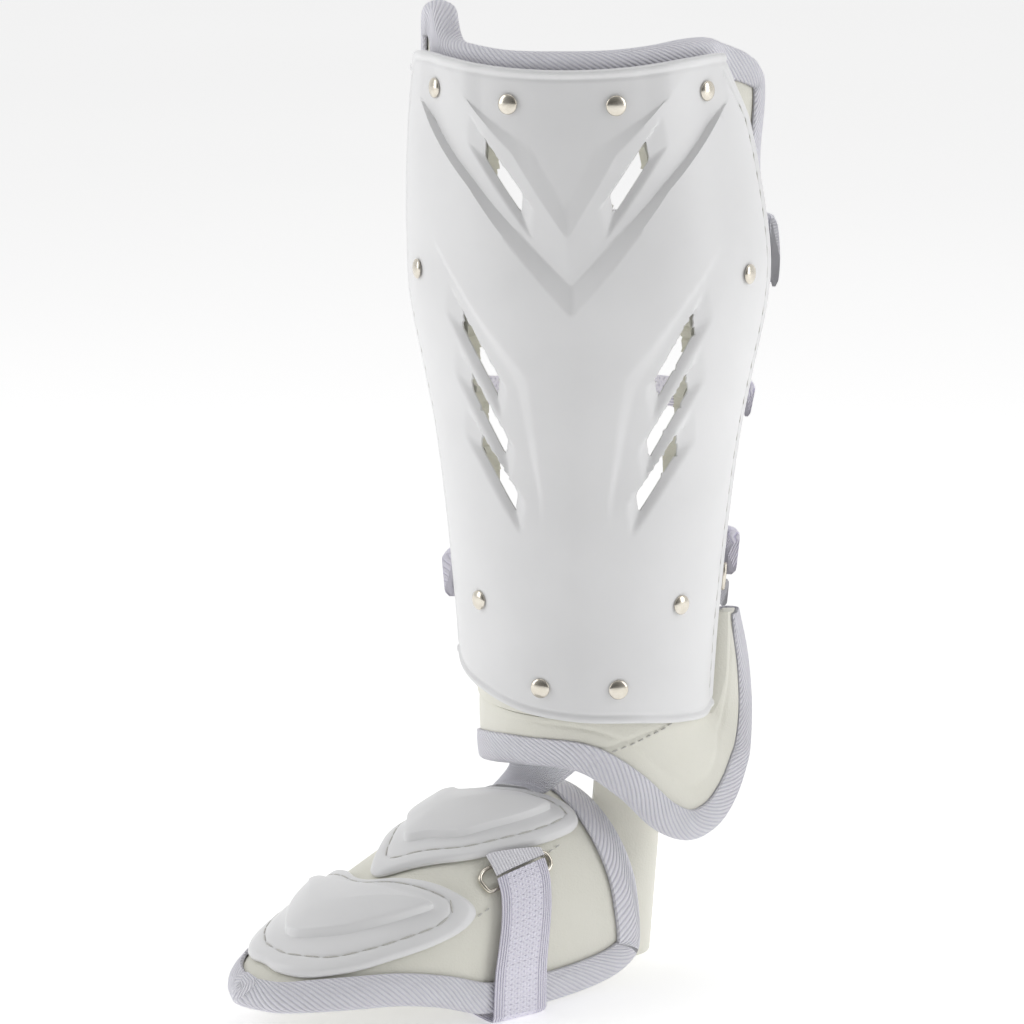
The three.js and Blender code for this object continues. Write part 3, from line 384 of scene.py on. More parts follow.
# %% Finishes of the soft pieces
def cream_leather():
    finish = Finish("cream_leather", (0.72, 0.70, 0.61), 0.5, Sheen_Weight=0.06)
    finish.tint(finish.noise(22, 5), (0.785, 0.775, 0.685), (0.835, 0.825, 0.75))
    finish.rough(finish.noise(160, 4), 0.42, 0.58)
    grain = finish.bump(finish.cells(1150), 0.00009)
    finish.bump(finish.noise(70, 3), 0.00035, grain)
    return finish.material


def twill_tape():
    """Diagonal ribs, about two millimetres apart, of fine thread."""
    finish = Finish("twill_tape", (0.74, 0.72, 0.83), 0.85, Sheen_Weight=0.25)
    along, across = finish.cloth()
    slant = finish.sum("ADD", finish.sum("MULTIPLY", along, 0.7), across)
    rib = finish.ribs(slant, math.pi / 1.9)
    thread = finish.wave(finish.sum("SUBTRACT", along, across), 13.0)
    fuzz = finish.noise(1400, 3)
    height = finish.sum("ADD", rib, finish.sum("MULTIPLY", thread, 0.13))
    height = finish.sum("ADD", height, finish.sum("MULTIPLY", fuzz, 0.4))
    # Painted shade: the tape's colour is made darker in the grooves between the ribs, where shade
    # falls.
    finish.tint(rib, (0.79, 0.78, 0.87), (0.90, 0.895, 0.95))
    finish.bump(height, 0.00042)
    return finish.material


def mesh_webbing():
    """Small raised cells in staggered rows, with dimples between them that are darkened by painted
    shade.
    """
    finish = Finish("mesh_webbing", (0.80, 0.80, 0.84), 0.85, Sheen_Weight=0.2)
    along, across = finish.cloth()
    one = finish.wave(finish.sum("ADD", along, across), 2.4)
    two = finish.wave(finish.sum("SUBTRACT", along, across), 2.4)
    cell = finish.sum("MULTIPLY", one, two)
    level = finish.sum("MULTIPLY_ADD", cell, 0.5, 0.5)
    # Painted shade: the colour is made darker in the dimples between the raised cells.
    finish.tint(level, (0.72, 0.72, 0.78), (0.88, 0.88, 0.92))
    fuzz = finish.sum("MULTIPLY", finish.noise(1500, 3), 0.35)
    finish.bump(finish.sum("ADD", level, fuzz), 0.0004)
    return finish.material


def ribbed_webbing():
    finish = Finish("ribbed_webbing", (0.80, 0.79, 0.85), 0.8, Sheen_Weight=0.2)
    along, across = finish.cloth()
    rib = finish.ribs(across, 2.3)
    weft = finish.wave(along, 7.0)
    # Painted shade: the webbing's colour is made darker in the grooves between the ribs.
    finish.tint(rib, (0.74, 0.73, 0.79), (0.87, 0.865, 0.91))
    finish.bump(finish.sum("ADD", rib, finish.sum("MULTIPLY", weft, 0.18)), 0.0003)
    return finish.material


def net_elastic():
    """Corded bands at both edges and five columns of small diamonds between them."""
    finish = Finish("net_elastic", (0.72, 0.69, 0.86), 0.8, Sheen_Weight=0.25)
    along, across = finish.cloth()
    swing = finish.sum("MULTIPLY", finish.wave(along, 1.45), 1.1)
    left = finish.ribs(finish.sum("ADD", across, swing), math.pi / 3.1)
    other = finish.ribs(finish.sum("SUBTRACT", across, swing), math.pi / 3.1)
    net = finish.sum("MAXIMUM", left, other)
    cord = finish.ribs(across, 2.6)
    from_middle = finish.sum("ABSOLUTE", finish.sum("SUBTRACT", across, 13.5))
    middle = finish.sum("LESS_THAN", from_middle, 8.2)
    pattern = finish.sum("MULTIPLY_ADD", finish.sum("SUBTRACT", net, cord), middle, cord)
    thread = finish.wave(along, 8.0)
    height = finish.sum("ADD", pattern, finish.sum("MULTIPLY", thread, 0.12))
    # Painted shade: the elastic's colour is made darker where the net and cords sink in, and
    # lighter on their raised threads.
    finish.tint(pattern, (0.72, 0.69, 0.86), (0.87, 0.85, 0.95))
    finish.bump(height, 0.00045)
    return finish.material


def sewing_thread():
    finish = Finish("sewing_thread", (0.78, 0.77, 0.74), 0.7)
    finish.tint(finish.noise(1800, 2), (0.50, 0.49, 0.46), (0.68, 0.67, 0.64))
    finish.bump(finish.noise(3200, 2), 0.00005)
    return finish.material


PLASTIC, NICKEL, LEATHER = moulded_plastic(), nickel_plate(), cream_leather()
TAPE_CLOTH, WEBBING, RIBBED = twill_tape(), mesh_webbing(), ribbed_webbing()
ELASTIC, THREAD = net_elastic(), sewing_thread()
print("finishes:", len(bpy.data.materials))

# %% [markdown]
# ## The shin shell
# The real shell is one moulding: a chevron below the top edge, a soft keel down the middle,
# two upper vents and three on each side, all cut through. A height over a plain curved face
# gives all of it, so the shell is a fine net whose rows run along the chevron's creases.

# %% Relief of the shell
chevron = {
    "a": [(0, 0.790), (0.125, 0.884), (0.41, 0.948)],
    "b": [(0, 0.752), (0.205, 0.878), (0.41, 0.948)],
    "c": [(0, 0.679), (0.175, 0.750), (0.40, 0.832), (0.67, 0.918)],
    "d": [(0, 0.634), (0.245, 0.750), (0.40, 0.822), (0.70, 0.926)],
}
LEVEL = {"middle": -0.55, "ridge": -0.15, "valley": -1.0, "vent_panel": -0.35, "keel": 0.22}
bevel_inner = [(0.338, 0.154), (0.539, 0.196), (0.743, 0.627)]
bevel_outer = [(0.338, 0.157), (0.414, 0.201), (0.524, 0.246), (0.695, 0.518), (0.743, 0.64)]


def crease_at(points, turn):
    """Height of a crease at a turn; past its last point it runs on straight."""
    t, r = np.array(points).T
    inside = np.interp(turn, t, r)
    slope = (r[-1] - r[-2]) / (t[-1] - t[-2])
    return np.where(turn > t[-1], r[-1] + (turn - t[-1]) * slope, inside)


def chevron_relief(turn, rise):
    a, b, c, d = (crease_at(chevron[line], turn) for line in "abcd")
    middle = mix(LEVEL["middle"], LEVEL["ridge"], smooth(0.34, 0.46, turn))
    height = np.where(rise >= a, middle, 0.0)
    for upper, lower, above, below in ((a, b, middle, LEVEL["ridge"]),
                                       (b, c, LEVEL["ridge"], LEVEL["valley"]),
                                       (c, d, LEVEL["valley"], 0)):
        slope = mix(below, above, (rise - lower) / np.maximum(upper - lower, 1e-6))
        height = np.where((rise < upper) & (rise >= lower), slope, height)
    return height * smooth(0.78, 0.64, turn)


def side_relief(turn, rise):
    """A bevel runs down beside the side vents, and the panel outside it lies lower."""
    r1, t1 = np.array(bevel_inner).T
    r2, t2 = np.array(bevel_outer).T
    inner, outer = np.interp(rise, r1, t1), np.interp(rise, r2, t2)
    step = np.clip((turn - inner) / np.maximum(outer - inner, 0.012), 0, 1)
    below = smooth(0.752, 0.70, rise) * smooth(0.30, 0.40, rise)
    return LEVEL["vent_panel"] * step * smooth(0.80, 0.42, turn) * below


def relief(share, rise):
    turn = np.abs(share)
    keel = LEVEL["keel"] * np.exp(-((turn / 0.12) ** 2)) * smooth(0.66, 0.5, rise)
    return RELIEF * (chevron_relief(turn, rise) + side_relief(turn, rise) + keel)


print("relief at the valley", round(float(relief(np.array(0.1), np.array(0.72))), 2), "mm")

# %% [markdown]
# A vent is a slanted slot in a funnel: its inner edge drops straight down, and the other three
# sides slope in to the opening. The slot is measured on the unrolled shell, in millimetres.

# %% Vents
SLOT_WIDTH = 6.0
FUNNEL_TOP, FUNNEL_LOW, FUNNEL_OUT, FUNNEL_IN = 11.0, 8.0, 2.6, 0.7
vent_ends = [(0.345, 0.882, 0.180, 0.802), (0.497, 0.621, 0.350, 0.521),
             (0.502, 0.528, 0.338, 0.428), (0.491, 0.434, 0.299, 0.344)]


def arc_scale(rise):
    half = SHELL_HALF_WIDTH * read(shell_sections, "up", "half", rise)
    front = SHELL_DEPTH * read(shell_sections, "up", "front", rise)
    return math.radians(SHELL_WRAP) * (half + front) / 2


def vent_frame(ends, turn, rise):
    """Distance along and across a slot, and its half length. Across is positive outward."""
    ta, ra, tb, rb = ends
    a = np.array([ta * arc_scale(ra), SHELL_HEIGHT * ra])
    b = np.array([tb * arc_scale(rb), SHELL_HEIGHT * rb])
    length = np.linalg.norm(a - b)
    sx, sz = (a - b) / length
    x = turn * arc_scale(rise) - (a + b)[0] / 2
    z = SHELL_HEIGHT * rise - (a + b)[1] / 2
    across = x * sz - z * sx
    return x * sx + z * sz + 0.9 * across, across, length / 2


def vent_distance(share, rise, width=SLOT_WIDTH, shift=0.0, corner=0.8):
    """Distance in millimetres from the nearest opening's edge, negative inside it."""
    best = np.full(np.shape(share), 99.0)
    for ends in vent_ends:
        along, across, half = vent_frame(ends, np.abs(share), rise)
        dx = np.abs(along) * 0.75 - (half * 0.75 - corner)
        dy = np.abs(across - shift) - (width / 2 - corner)
        outside = np.hypot(np.maximum(dx, 0), np.maximum(dy, 0))
        best = np.minimum(best, outside + np.minimum(np.maximum(dx, dy), 0) - corner)
    return best


def funnel(share, rise):
    """How deep the funnels round the vents lie below the panel, in millimetres."""
    depth = np.zeros(np.shape(share))
    for ends in vent_ends:
        along, across, half = vent_frame(ends, np.abs(share), rise)
        ramps = [(half + FUNNEL_TOP - along) / FUNNEL_TOP, (along + half + FUNNEL_LOW) / FUNNEL_LOW,
                 (SLOT_WIDTH / 2 + FUNNEL_OUT - across) / FUNNEL_OUT,
                 (across + SLOT_WIDTH / 2 + FUNNEL_IN) / FUNNEL_IN]
        depth = np.maximum(depth, 2.3 * np.clip(np.minimum.reduce(ramps), 0, 1))
    return depth


def snap_to_vents(share, rise, reach=0.75, **opening):
    """Moves the net's points that lie near an opening's edge on to the edge."""
    def distance(turn, height):
        return vent_distance(turn, height, **opening)

    for _ in range(3):
        d = distance(share, rise)
        e = 0.0008
        scale = arc_scale(rise)
        gx = (distance(share + e, rise) - distance(share - e, rise)) / (2 * e * scale)
        gz = (distance(share, rise + e) - distance(share, rise - e)) / (2 * e * SHELL_HEIGHT)
        norm = np.maximum(gx**2 + gz**2, 0.2)
        near = np.abs(d) < reach
        share = np.where(near, share - d * gx / norm / scale, share)
        rise = np.where(near, rise - d * gz / norm / SHELL_HEIGHT, rise)
    return share, rise


def open_cells(share, rise, **opening):
    """False for the net's cells that lie in an opening."""
    centre = [(m[:-1, :-1] + m[1:, :-1] + m[:-1, 1:] + m[1:, 1:]) / 4 for m in (share, rise)]
    return vent_distance(*centre, **opening) > 0


# %% [markdown]
# Along the top and bottom the edge turns out into a thin lip with a groove under it. Each side
# has a wider border: a lip, a flat and a sewn groove. The net's lines stand closer there.

# %% Net of the shell
RIM, LIP, LIP_HIGH, GROOVE_IN, GROOVE_DEEP = 1.1, 2.3, 0.75, 5.0, 0.75


def edge_relief(share, rise):
    high = (read(shell_edges, "turn", "high", share) - rise) * SHELL_HEIGHT
    low = (rise - read(shell_edges, "turn", "low", share)) * SHELL_HEIGHT
    side = (side_reach(share, rise) - np.abs(share)) * arc_scale(rise)
    out = np.zeros(np.shape(share))
    for d, tall in ((high, LIP_HIGH), (low, LIP_HIGH), (side, 0.5)):
        out += tall * smooth(LIP + 0.9, LIP - 0.5, d)
    for d in (high, low):
        out -= 0.35 * np.exp(-(((d - LIP - 1.4) / 0.7) ** 2))
    reach = smooth(3.0, 9.0, high) * smooth(3.0, 9.0, low)
    out -= GROOVE_DEEP * np.exp(-(((side - GROOVE_IN) / 0.8) ** 2)) * reach
    nearest = np.minimum(np.minimum(high, low), side)
    turn = np.clip((RIM - nearest) / RIM, 0, 1)
    return out - RIM * (1 - np.sqrt(1 - turn**2 * 0.98))


near_edge = np.array([0, 0.12, 0.35, 0.7, 1.1, 1.7, 2.3, 2.9, 3.5, 4.0, 4.5, 5.0, 5.5, 6.0, 6.8])
side_lines = near_edge / arc_scale(0.5)
inner = 1 - 8.0 / arc_scale(0.5)
shares = np.r_[-1 + side_lines, np.linspace(-inner, inner, 152), 1 - side_lines[::-1]]
shell_rows = []


def crease_rise(line, share):
    """Where a column of the net meets a crease; the cut corner draws the columns together."""
    rise = 0.85
    for _ in range(6):
        rise = float(crease_at(chevron[line], abs(share) * float(side_reach(share, rise))))
    return rise


for share in shares:
    low = float(read(shell_edges, "turn", "low", share))
    high = float(read(shell_edges, "turn", "high", share * float(side_reach(share, 1.0))))
    edge = near_edge / SHELL_HEIGHT
    top = high - edge[-1] - 0.004
    lines = [min(crease_rise(c, share), top - 0.012 * (4 - i)) for i, c in enumerate("dcba")]
    for i in range(1, 4):
        lines[i] = max(lines[i], lines[i - 1] + 0.008)
    stops = [low + edge[-1], *lines, top]
    counts = [118, 8, 30, 8, 16]
    rises = list(low + edge[:-1])
    for i, count in enumerate(counts):
        rises += list(np.linspace(stops[i], stops[i + 1], count, endpoint=False))
    shell_rows.append([*rises, top, *(high - edge[::-1][1:])])
rise_net = np.array(shell_rows)
share_net = shares[:, None] * side_reach(shares[:, None], rise_net)
share_net, rise_net = snap_to_vents(share_net, rise_net)


def shell_face(share, rise, out):
    lift = relief(share, rise) + edge_relief(share, rise) - funnel(share, rise)
    return leg_point(share * SHELL_WRAP, shell_rise(rise), lift + out)


front = shell_face(share_net, rise_net, 0)
back = leg_point(share_net * SHELL_WRAP, shell_rise(rise_net),
                 np.minimum(relief(share_net, rise_net) - SHELL_WALL,
                            relief(share_net, rise_net) - funnel(share_net, rise_net) - 0.8))
shell = walled("shin_shell_moulded", front, back, PLASTIC, 38, open_cells(share_net, rise_net))

# %% [markdown]
# ## The padded lining
# Behind the shell lies a thick cream pad. It shows along both sides and above the shell, and the
# vents go through it too. It is one soft sheet, swollen where nothing presses on it.

# %% Lining
LINER_WALL, LINER_WRAP, LINER_SWELL = 7.0, 97.0, 3.6
WING_HEIGHT, FLARE = 20.0, 8.0
TAPE_DEPTH, TAPE_TUCK = 11.0, 2.6
WINDOW = {"width": 20.0, "shift": 6.5}
LINER_OUT = -SHELL_WALL + LEVEL["valley"] * RELIEF - CLEAR
LINER_LOW = shell_rise(0) - 0.5
liner_edge = table(
    "turn over",
    (-1.00, 0.45), (-0.96, 0.78), (-0.90, 0.96), (-0.82, 0.98), (-0.75, 0.72), (-0.67, 0.40),
    (-0.58, 0.27), (-0.45, 0.22), (-0.25, 0.16), (0.00, 0.17), (0.20, 0.19), (0.40, 0.265),
    (0.55, 0.34), (0.70, 0.335), (0.80, 0.25), (0.90, 0.07), (0.96, -0.15), (1.00, -0.45))


def liner_top(share):
    return shell_rise(1) + WING_HEIGHT * read(liner_edge, "turn", "over", share)


def liner_point(share, z, out):
    turn = share * LINER_WRAP
    free = np.clip((np.abs(turn) - SHELL_WRAP - 2) / (LINER_WRAP - SHELL_WRAP - 2), 0, 1)
    taped = liner_top(share) - TAPE_DEPTH
    tuck = TAPE_TUCK * smooth(taped - 6, taped - 1, z) * smooth(0.88, 0.80, np.abs(share))
    flare = FLARE * smooth(shell_rise(0.80), shell_rise(0.97), z) * smooth(0.84, 1, share)
    return leg_point(turn, z, LINER_OUT + free * LINER_SWELL + flare - tuck + out)


def ease(u):
    w = mix(-1, 1, u)
    return np.clip(w * (1.28 - 0.28 * w**2), -1, 1)


lining_u, lining_v = np.meshgrid(np.linspace(0, 1, 150), np.linspace(0, 1, 215), indexing="ij")
lining_share = ease(lining_u)
lining_z = mix(LINER_LOW, liner_top(lining_share), lining_v)
on_shell, on_rise = snap_to_vents(lining_share * LINER_WRAP / SHELL_WRAP,
                                  (lining_z - SHELL_BOTTOM) / SHELL_HEIGHT, 0.9, **WINDOW)
lining_share, lining_z = on_shell * SHELL_WRAP / LINER_WRAP, shell_rise(on_rise)
pillow = 0.35 * np.sin(lining_u * 34) * np.sin(lining_z / 15) * smooth(0.0, 0.1, lining_v)
front = liner_point(lining_share, lining_z, 0 * pillow)
back = liner_point(lining_share, lining_z, -LINER_WALL - 0.3 + pillow)
lining = walled("lining_cream", front, back, LEATHER, keep=open_cells(on_shell, on_rise, **WINDOW))

# %% [markdown]
# ## Binding tape
# Folded tape hides each soft edge. The path runs along the edge in the surface's own two
# coordinates, and at every station both legs of the tape follow the surface inward.

# %% Tape folded over an edge
TAPE, TAPE_CLEAR, TAPE_PUFF = 1.5, 0.6, 0.3


def unit(v):
    return v / np.maximum(np.linalg.norm(v, axis=-1, keepdims=True), 1e-9)


def dot(a, b):
    return (a * b).sum(-1, keepdims=True)


def inset(a, b, surface, reach, goal, half):
    """The surface coordinates nearest to points that lie the tape's depth inward."""
    (a_lo, a_hi), (b_lo, b_hi) = reach
    ua, ub = a_hi - a_lo, b_hi - b_lo
    pa, pb = mix(a, (a_lo + a_hi) / 2, 0.03), mix(b, (b_lo + b_hi) / 2, 0.03)
    for _ in range(25):
        here = surface(pa, pb, -half)
        miss = goal - here
        ha = np.where(pa > (a_lo + a_hi) / 2, -0.01, 0.01) * ua
        hb = np.where(pb > (b_lo + b_hi) / 2, -0.01, 0.01) * ub
        ja = (surface(pa + ha, pb, -half) - here) * (ua / ha)[:, None]
        jb = (surface(pa, pb + hb, -half) - here) * (ub / hb)[:, None]
        aa, ab, bb = (ja * ja).sum(1), (ja * jb).sum(1), (jb * jb).sum(1)
        damp = 0.02 * (aa + bb)
        aa, bb = aa + damp, bb + damp
        ga, gb = (ja * miss).sum(1), (jb * miss).sum(1)
        det = aa * bb - ab * ab
        pa = np.clip(pa + np.clip((ga * bb - gb * ab) / det, -0.03, 0.03) * ua, a_lo, a_hi)
        pb = np.clip(pb + np.clip((gb * aa - ga * ab) / det, -0.03, 0.03) * ub, b_lo, b_hi)
    return pa, pb


def even_path(path, surface, spacing):
    """The path again, with its stations the given number of millimetres apart."""
    path = np.asarray(path, float)
    fine = np.concatenate([mix(path[i], path[i + 1], np.linspace(0, 1, 12, endpoint=False)[:, None])
                           for i in range(len(path) - 1)] + [path[-1:]])
    p = surface(fine[:, 0], fine[:, 1], 0)
    run = np.r_[0, np.cumsum(np.linalg.norm(np.diff(p, axis=0), axis=1))]
    at = np.linspace(0, run[-1], max(int(run[-1] / spacing), 8))
    return np.stack([np.interp(at, run, fine[:, k]) for k in (0, 1)], 1)


def soften(values, passes, closed):
    """Evens out a value along a path."""
    for _ in range(passes):
        if closed:
            values = (np.roll(values, 1, 0) + 2 * values + np.roll(values, -1, 0)) / 4
        else:
            middle = (values[:-2] + 2 * values[1:-1] + values[2:]) / 4
            values = np.concatenate([values[:1], middle, values[-1:]])
    return values


def tape_rings(path, surface, reach, wall, closed=False, spacing=1.6, depth=TAPE_DEPTH):
    half = wall / 2
    thick = half + TAPE_CLEAR + TAPE
    path = even_path(path, surface, spacing)
    if closed:
        path = path[:-1]
    a, b = path.T
    point = surface(a, b, -half)
    along = (np.roll(point, -1, 0) - np.roll(point, 1, 0)) if closed else np.gradient(point, axis=0)
    along = unit(soften(along, 6, closed))
    normal = unit(surface(a, b, 1) - surface(a, b, -1))
    normal = unit(normal - along * dot(normal, along))
    away = np.cross(normal, along)
    pa, pb = inset(a, b, surface, reach, point - away * depth, half)
    pa, pb = soften(pa, 4, closed), soften(pb, 4, closed)

    def at(k, out):
        return surface(mix(a, pa, k), mix(b, pb, k), out)

    def fold(across, out):
        return surface(a, b, across - half) + away * out

    legs = [1.0, 0.97, 0.8, 0.6, 0.4, 0.2, 0.0]
    puff = [TAPE * 0.45, TAPE, TAPE + 0.5 * TAPE_PUFF, TAPE + TAPE_PUFF, TAPE + TAPE_PUFF,
            TAPE + 0.5 * TAPE_PUFF, TAPE]
    ring = [at(k, TAPE_CLEAR + p) for k, p in zip(legs, puff)]
    for turn in np.radians([25, 50, 70, 90, 110, 130, 155]):
        ring.append(fold(thick * math.cos(turn), 0.62 * thick * math.sin(turn)))
    ring += [at(k, -wall - TAPE_CLEAR - p) for k, p in zip(legs[::-1], puff[::-1])]
    ring += [at(1, -wall - TAPE_CLEAR), at(0.5, -wall - TAPE_CLEAR),
             fold(-half - TAPE_CLEAR, TAPE_CLEAR), fold(half + TAPE_CLEAR, TAPE_CLEAR),
             at(0.5, TAPE_CLEAR), at(1, TAPE_CLEAR)]
    return np.stack(ring, 1)


liner_reach = ((-1.0, 1.0), (LINER_LOW, shell_rise(1) + WING_HEIGHT + 10))
low_end, corner = LINER_LOW + 40, float(liner_top(1.0))
over_top = [ease(i / 60) for i in range(1, 60)]
top_path = ([(-1, mix(low_end, corner, i / 12)) for i in range(13)]
            + [(s, float(liner_top(s))) for s in over_top]
            + [(1, mix(corner, low_end, i / 12)) for i in range(13)])
rings = tape_rings(top_path, liner_point, liner_reach, LINER_WALL)
top_binding = skinned("top_binding_tape", rings, TAPE_CLOTH)

# %% [markdown]
# ## The ankle flap
# A padded leather flap hangs below the shell. Its lower edge drops at the right, and a lobe
# comes round and up the side, edged with the same tape.

# %% Ankle flap
FLAP_WALL, FLAP_RADIUS = 5.0, 47.0
flap_rows = table(
    "low low_up top top_up reach top_reach",
    (-80, 0.757, -80, 0.993, 0.97, 1.00), (-55, 0.793, -55, 0.993, 1.01, 1.04),
    (-28, 0.824, -30, 0.993, 1.07, 1.11), (0, 0.825, 0, 0.993, 1.13, 1.16),
    (20, 0.732, 20, 0.993, 1.19, 1.15), (36, 0.607, 36, 0.993, 1.25, 1.12),
    (50, 0.552, 50, 0.990, 1.31, 1.09), (63, 0.575, 62, 0.985, 1.36, 1.07),
    (74, 0.640, 72, 0.970, 1.40, 1.065), (84, 0.715, 79, 0.945, 1.43, 1.08),
    (92, 0.790, 84.5, 0.930, 1.46, 1.17), (97, 0.950, 87, 1.040, 1.47, 1.26),
    (98, 1.120, 88, 1.180, 1.43, 1.28), (96, 1.290, 88.5, 1.290, 1.34, 1.28))


def flap_point(share, v, out):
    angle = np.radians(between(flap_rows, "low", "top", share, v))
    z = SHELL_BOTTOM * between(flap_rows, "low_up", "top_up", share, v)
    radius = FLAP_RADIUS * between(flap_rows, "reach", "top_reach", share, v) + out
    return vectors(radius * np.sin(angle), -radius * np.cos(angle), z)


u, v = np.meshgrid(np.linspace(0, 1, 220), np.linspace(0, 1, 60), indexing="ij")
crease = 0.5 * np.exp(-(((v - 0.62 - 0.25 * np.sin(u * 9)) / 0.05) ** 2)) * smooth(0.1, 0.3, u)
flap_seam = table("v share", (0.40, 0.262), (0.52, 0.270), (0.80, 0.345), (0.92, 0.430),
                  (1.00, 0.490))
seam = read(flap_seam, "v", "share", v)
crease += 0.6 * np.exp(-(((u - seam) / 0.006) ** 2)) * smooth(0.42, 0.52, v)
puffed = 0.7 * np.sin(np.pi * v) ** 0.6 - crease
flap = walled("ankle_flap_cream", flap_point(u, v, puffed), flap_point(u, v, -FLAP_WALL), LEATHER)
rings = tape_rings([(1 - i / 40, 0) for i in range(41)], flap_point, ((0, 1), (0, 1)), FLAP_WALL)
ankle_binding = skinned("ankle_binding_tape", rings, TAPE_CLOTH)

# %% [markdown]
# ## The foot guard
# The padded foot guard lies over the instep like half a shoe. Its sections run from the ankle to
# the toe; each is an arch from the ridge down to both edges.

# %% Foot guard's pad
FOOT_TURN, FOOT_LENGTH, FOOT_HALF_WIDTH, FOOT_HEIGHT = 50.0, 175.0, 45.0, 76.0
FOOT_WALL, FOOT_FORWARD, FOOT_LIFT = 5.0, 14.0, 6.0
foot_rows = table(
    "ridge top edge side low",
    (0.070, 1.000, 0.015, 0.93, 0.300), (0.120, 1.010, 0.030, 0.96, 0.150),
    (0.200, 1.010, 0.100, 0.98, 0.060), (0.290, 0.985, 0.230, 1.00, 0.015),
    (0.390, 0.920, 0.360, 1.02, 0.010), (0.490, 0.820, 0.480, 1.03, 0.030),
    (0.590, 0.690, 0.585, 1.00, 0.105), (0.690, 0.560, 0.690, 0.93, 0.150),
    (0.790, 0.440, 0.795, 0.80, 0.155), (0.870, 0.350, 0.885, 0.60, 0.145),
    (0.935, 0.265, 0.950, 0.38, 0.135), (0.975, 0.200, 0.990, 0.02, 0.130))
foot_turn = math.radians(FOOT_TURN)
foot_along = np.array([-math.sin(foot_turn), -math.cos(foot_turn), 0])
foot_side = np.array([math.cos(foot_turn), -math.sin(foot_turn), 0])
foot_middle = foot_along * FOOT_LENGTH * 0.45 + (0, -FOOT_FORWARD, 0)


def foot_plain(share, v):
    turn = np.radians(90 * np.minimum(np.abs(v), 1))
    fall = np.maximum(np.cos(turn), 0)
    half = FOOT_HALF_WIDTH * read_even(foot_rows, "side", share)
    across = np.sign(v) * half * np.sin(turn) ** 0.92
    along = FOOT_LENGTH * between(foot_rows, "edge", "ridge", share, fall**1.2)
    height = FOOT_HEIGHT * between(foot_rows, "low", "top", share, fall**0.8)
    return along[..., None] * foot_along + across[..., None] * foot_side + vectors(
        0 * along, 0 * along - FOOT_FORWARD, FOOT_LIFT + height)


def foot_point(share, v, out):
    share, v, out = np.broadcast_arrays(*map(np.asarray, (share, v, out)))
    share, v = share.astype(float), v.astype(float)
    e = 0.004
    du = foot_plain(np.minimum(share + e, 1), v) - foot_plain(np.maximum(share - e, 0), v)
    w = np.clip(v, -1 + e, 1 - e)
    dv = foot_plain(share, w + e) - foot_plain(share, w - e)
    point = foot_plain(share, v)
    normal = unit(np.cross(du, dv))
    normal = np.where(dot(normal, point - foot_middle) < 0, -normal, normal)
    return point + normal * out[..., None]


FOOT_CORNER = 0.07


def rear_share(around):
    """The pad's rear corners are rounded off."""
    k = np.clip((np.abs(around) - 0.8) / 0.2, 0, 1)
    return FOOT_CORNER * (1 - np.sqrt(1 - k**2))


u, v = np.meshgrid(np.linspace(0, 1, 170), np.linspace(-1, 1, 150), indexing="ij")
puffed = 0.25 * np.sin(u * 14) * np.sin(v * 9)
u = mix(rear_share(v), 1, u)
foot_pad = walled("foot_pad_cream", foot_point(u, v, puffed), foot_point(u, v, -FOOT_WALL), LEATHER)
along_side = np.linspace(FOOT_CORNER, 1, 41)[1:]
round_rear = np.sin(np.radians(np.linspace(-90, 90, 61)))
foot_edge = ([(s, 1) for s in along_side] + [(s, -1) for s in along_side[::-1]]
             + [(float(rear_share(r)), r) for r in round_rear] + [(along_side[0], 1)])
rings = tape_rings(foot_edge, foot_point, ((0, 1), (-1, 1)), FOOT_WALL, closed=True)
foot_binding = skinned("foot_binding_tape", rings, TAPE_CLOTH, closed=True)

# %% [markdown]
# ## Two moulded plates
# Each plate is a leaf that straddles the foot's ridge: a thick bevelled flange, a flat with a
# sewn groove, then a steep step up to a crowned dome. Rings run from the rim to the middle.

# %% Plates
PLATE_SEAT = 0.8
plate_outlines = {
    "instep": (0.38, 0.28, [
        (0.565, 0.000, 0.470, 0.000), (0.510, 0.160, 0.445, 0.080), (0.410, 0.345, 0.400, 0.205),
        (0.285, 0.435, 0.315, 0.270), (0.180, 0.440, 0.250, 0.290), (0.135, 0.400, 0.190, 0.280),
        (0.122, 0.330, 0.205, 0.225), (0.135, 0.250, 0.230, 0.160), (0.180, 0.120, 0.265, 0.080),
        (0.225, 0.000, 0.290, 0.000)]),
    "toe": (0.70, 0.585, [
        (0.880, 0.000, 0.775, 0.000), (0.875, 0.300, 0.755, 0.130), (0.825, 0.575, 0.690, 0.320),
        (0.730, 0.680, 0.620, 0.420), (0.630, 0.705, 0.570, 0.465), (0.545, 0.700, 0.530, 0.485),
        (0.470, 0.660, 0.535, 0.450), (0.445, 0.590, 0.550, 0.390), (0.480, 0.430, 0.570, 0.290),
        (0.530, 0.230, 0.590, 0.150), (0.585, 0.000, 0.610, 0.000)]),
}
# Way from rim to dome, share of the way in to the middle, and height over the pad.
flange = [(0, 0.02, 0), (0, 0.35, 0), (0, 0.7, 0), (0, 0.99, 0), (0, 1, 0.25), (0, 1, 1.3),
          (0.02, 1, 1.75), (0.07, 1, 2.5), (0.13, 1, 3.05), (0.18, 1, 3.2), (0.30, 1, 3.2),
          (0.40, 1, 3.2), (0.44, 1, 2.95), (0.47, 1, 2.65), (0.50, 1, 2.95), (0.54, 1, 3.2),
          (0.70, 1, 3.2), (0.88, 1, 3.2), (0.93, 1, 3.35), (0.96, 1, 4.1), (0.99, 1, 5.6),
          (1, 0.97, 6.5), (1, 0.93, 6.75), (1, 0.85, 7.0), (1, 0.72, 7.4), (1, 0.56, 7.85),
          (1, 0.38, 8.3), (1, 0.2, 8.6), (1, 0.02, 8.7)]


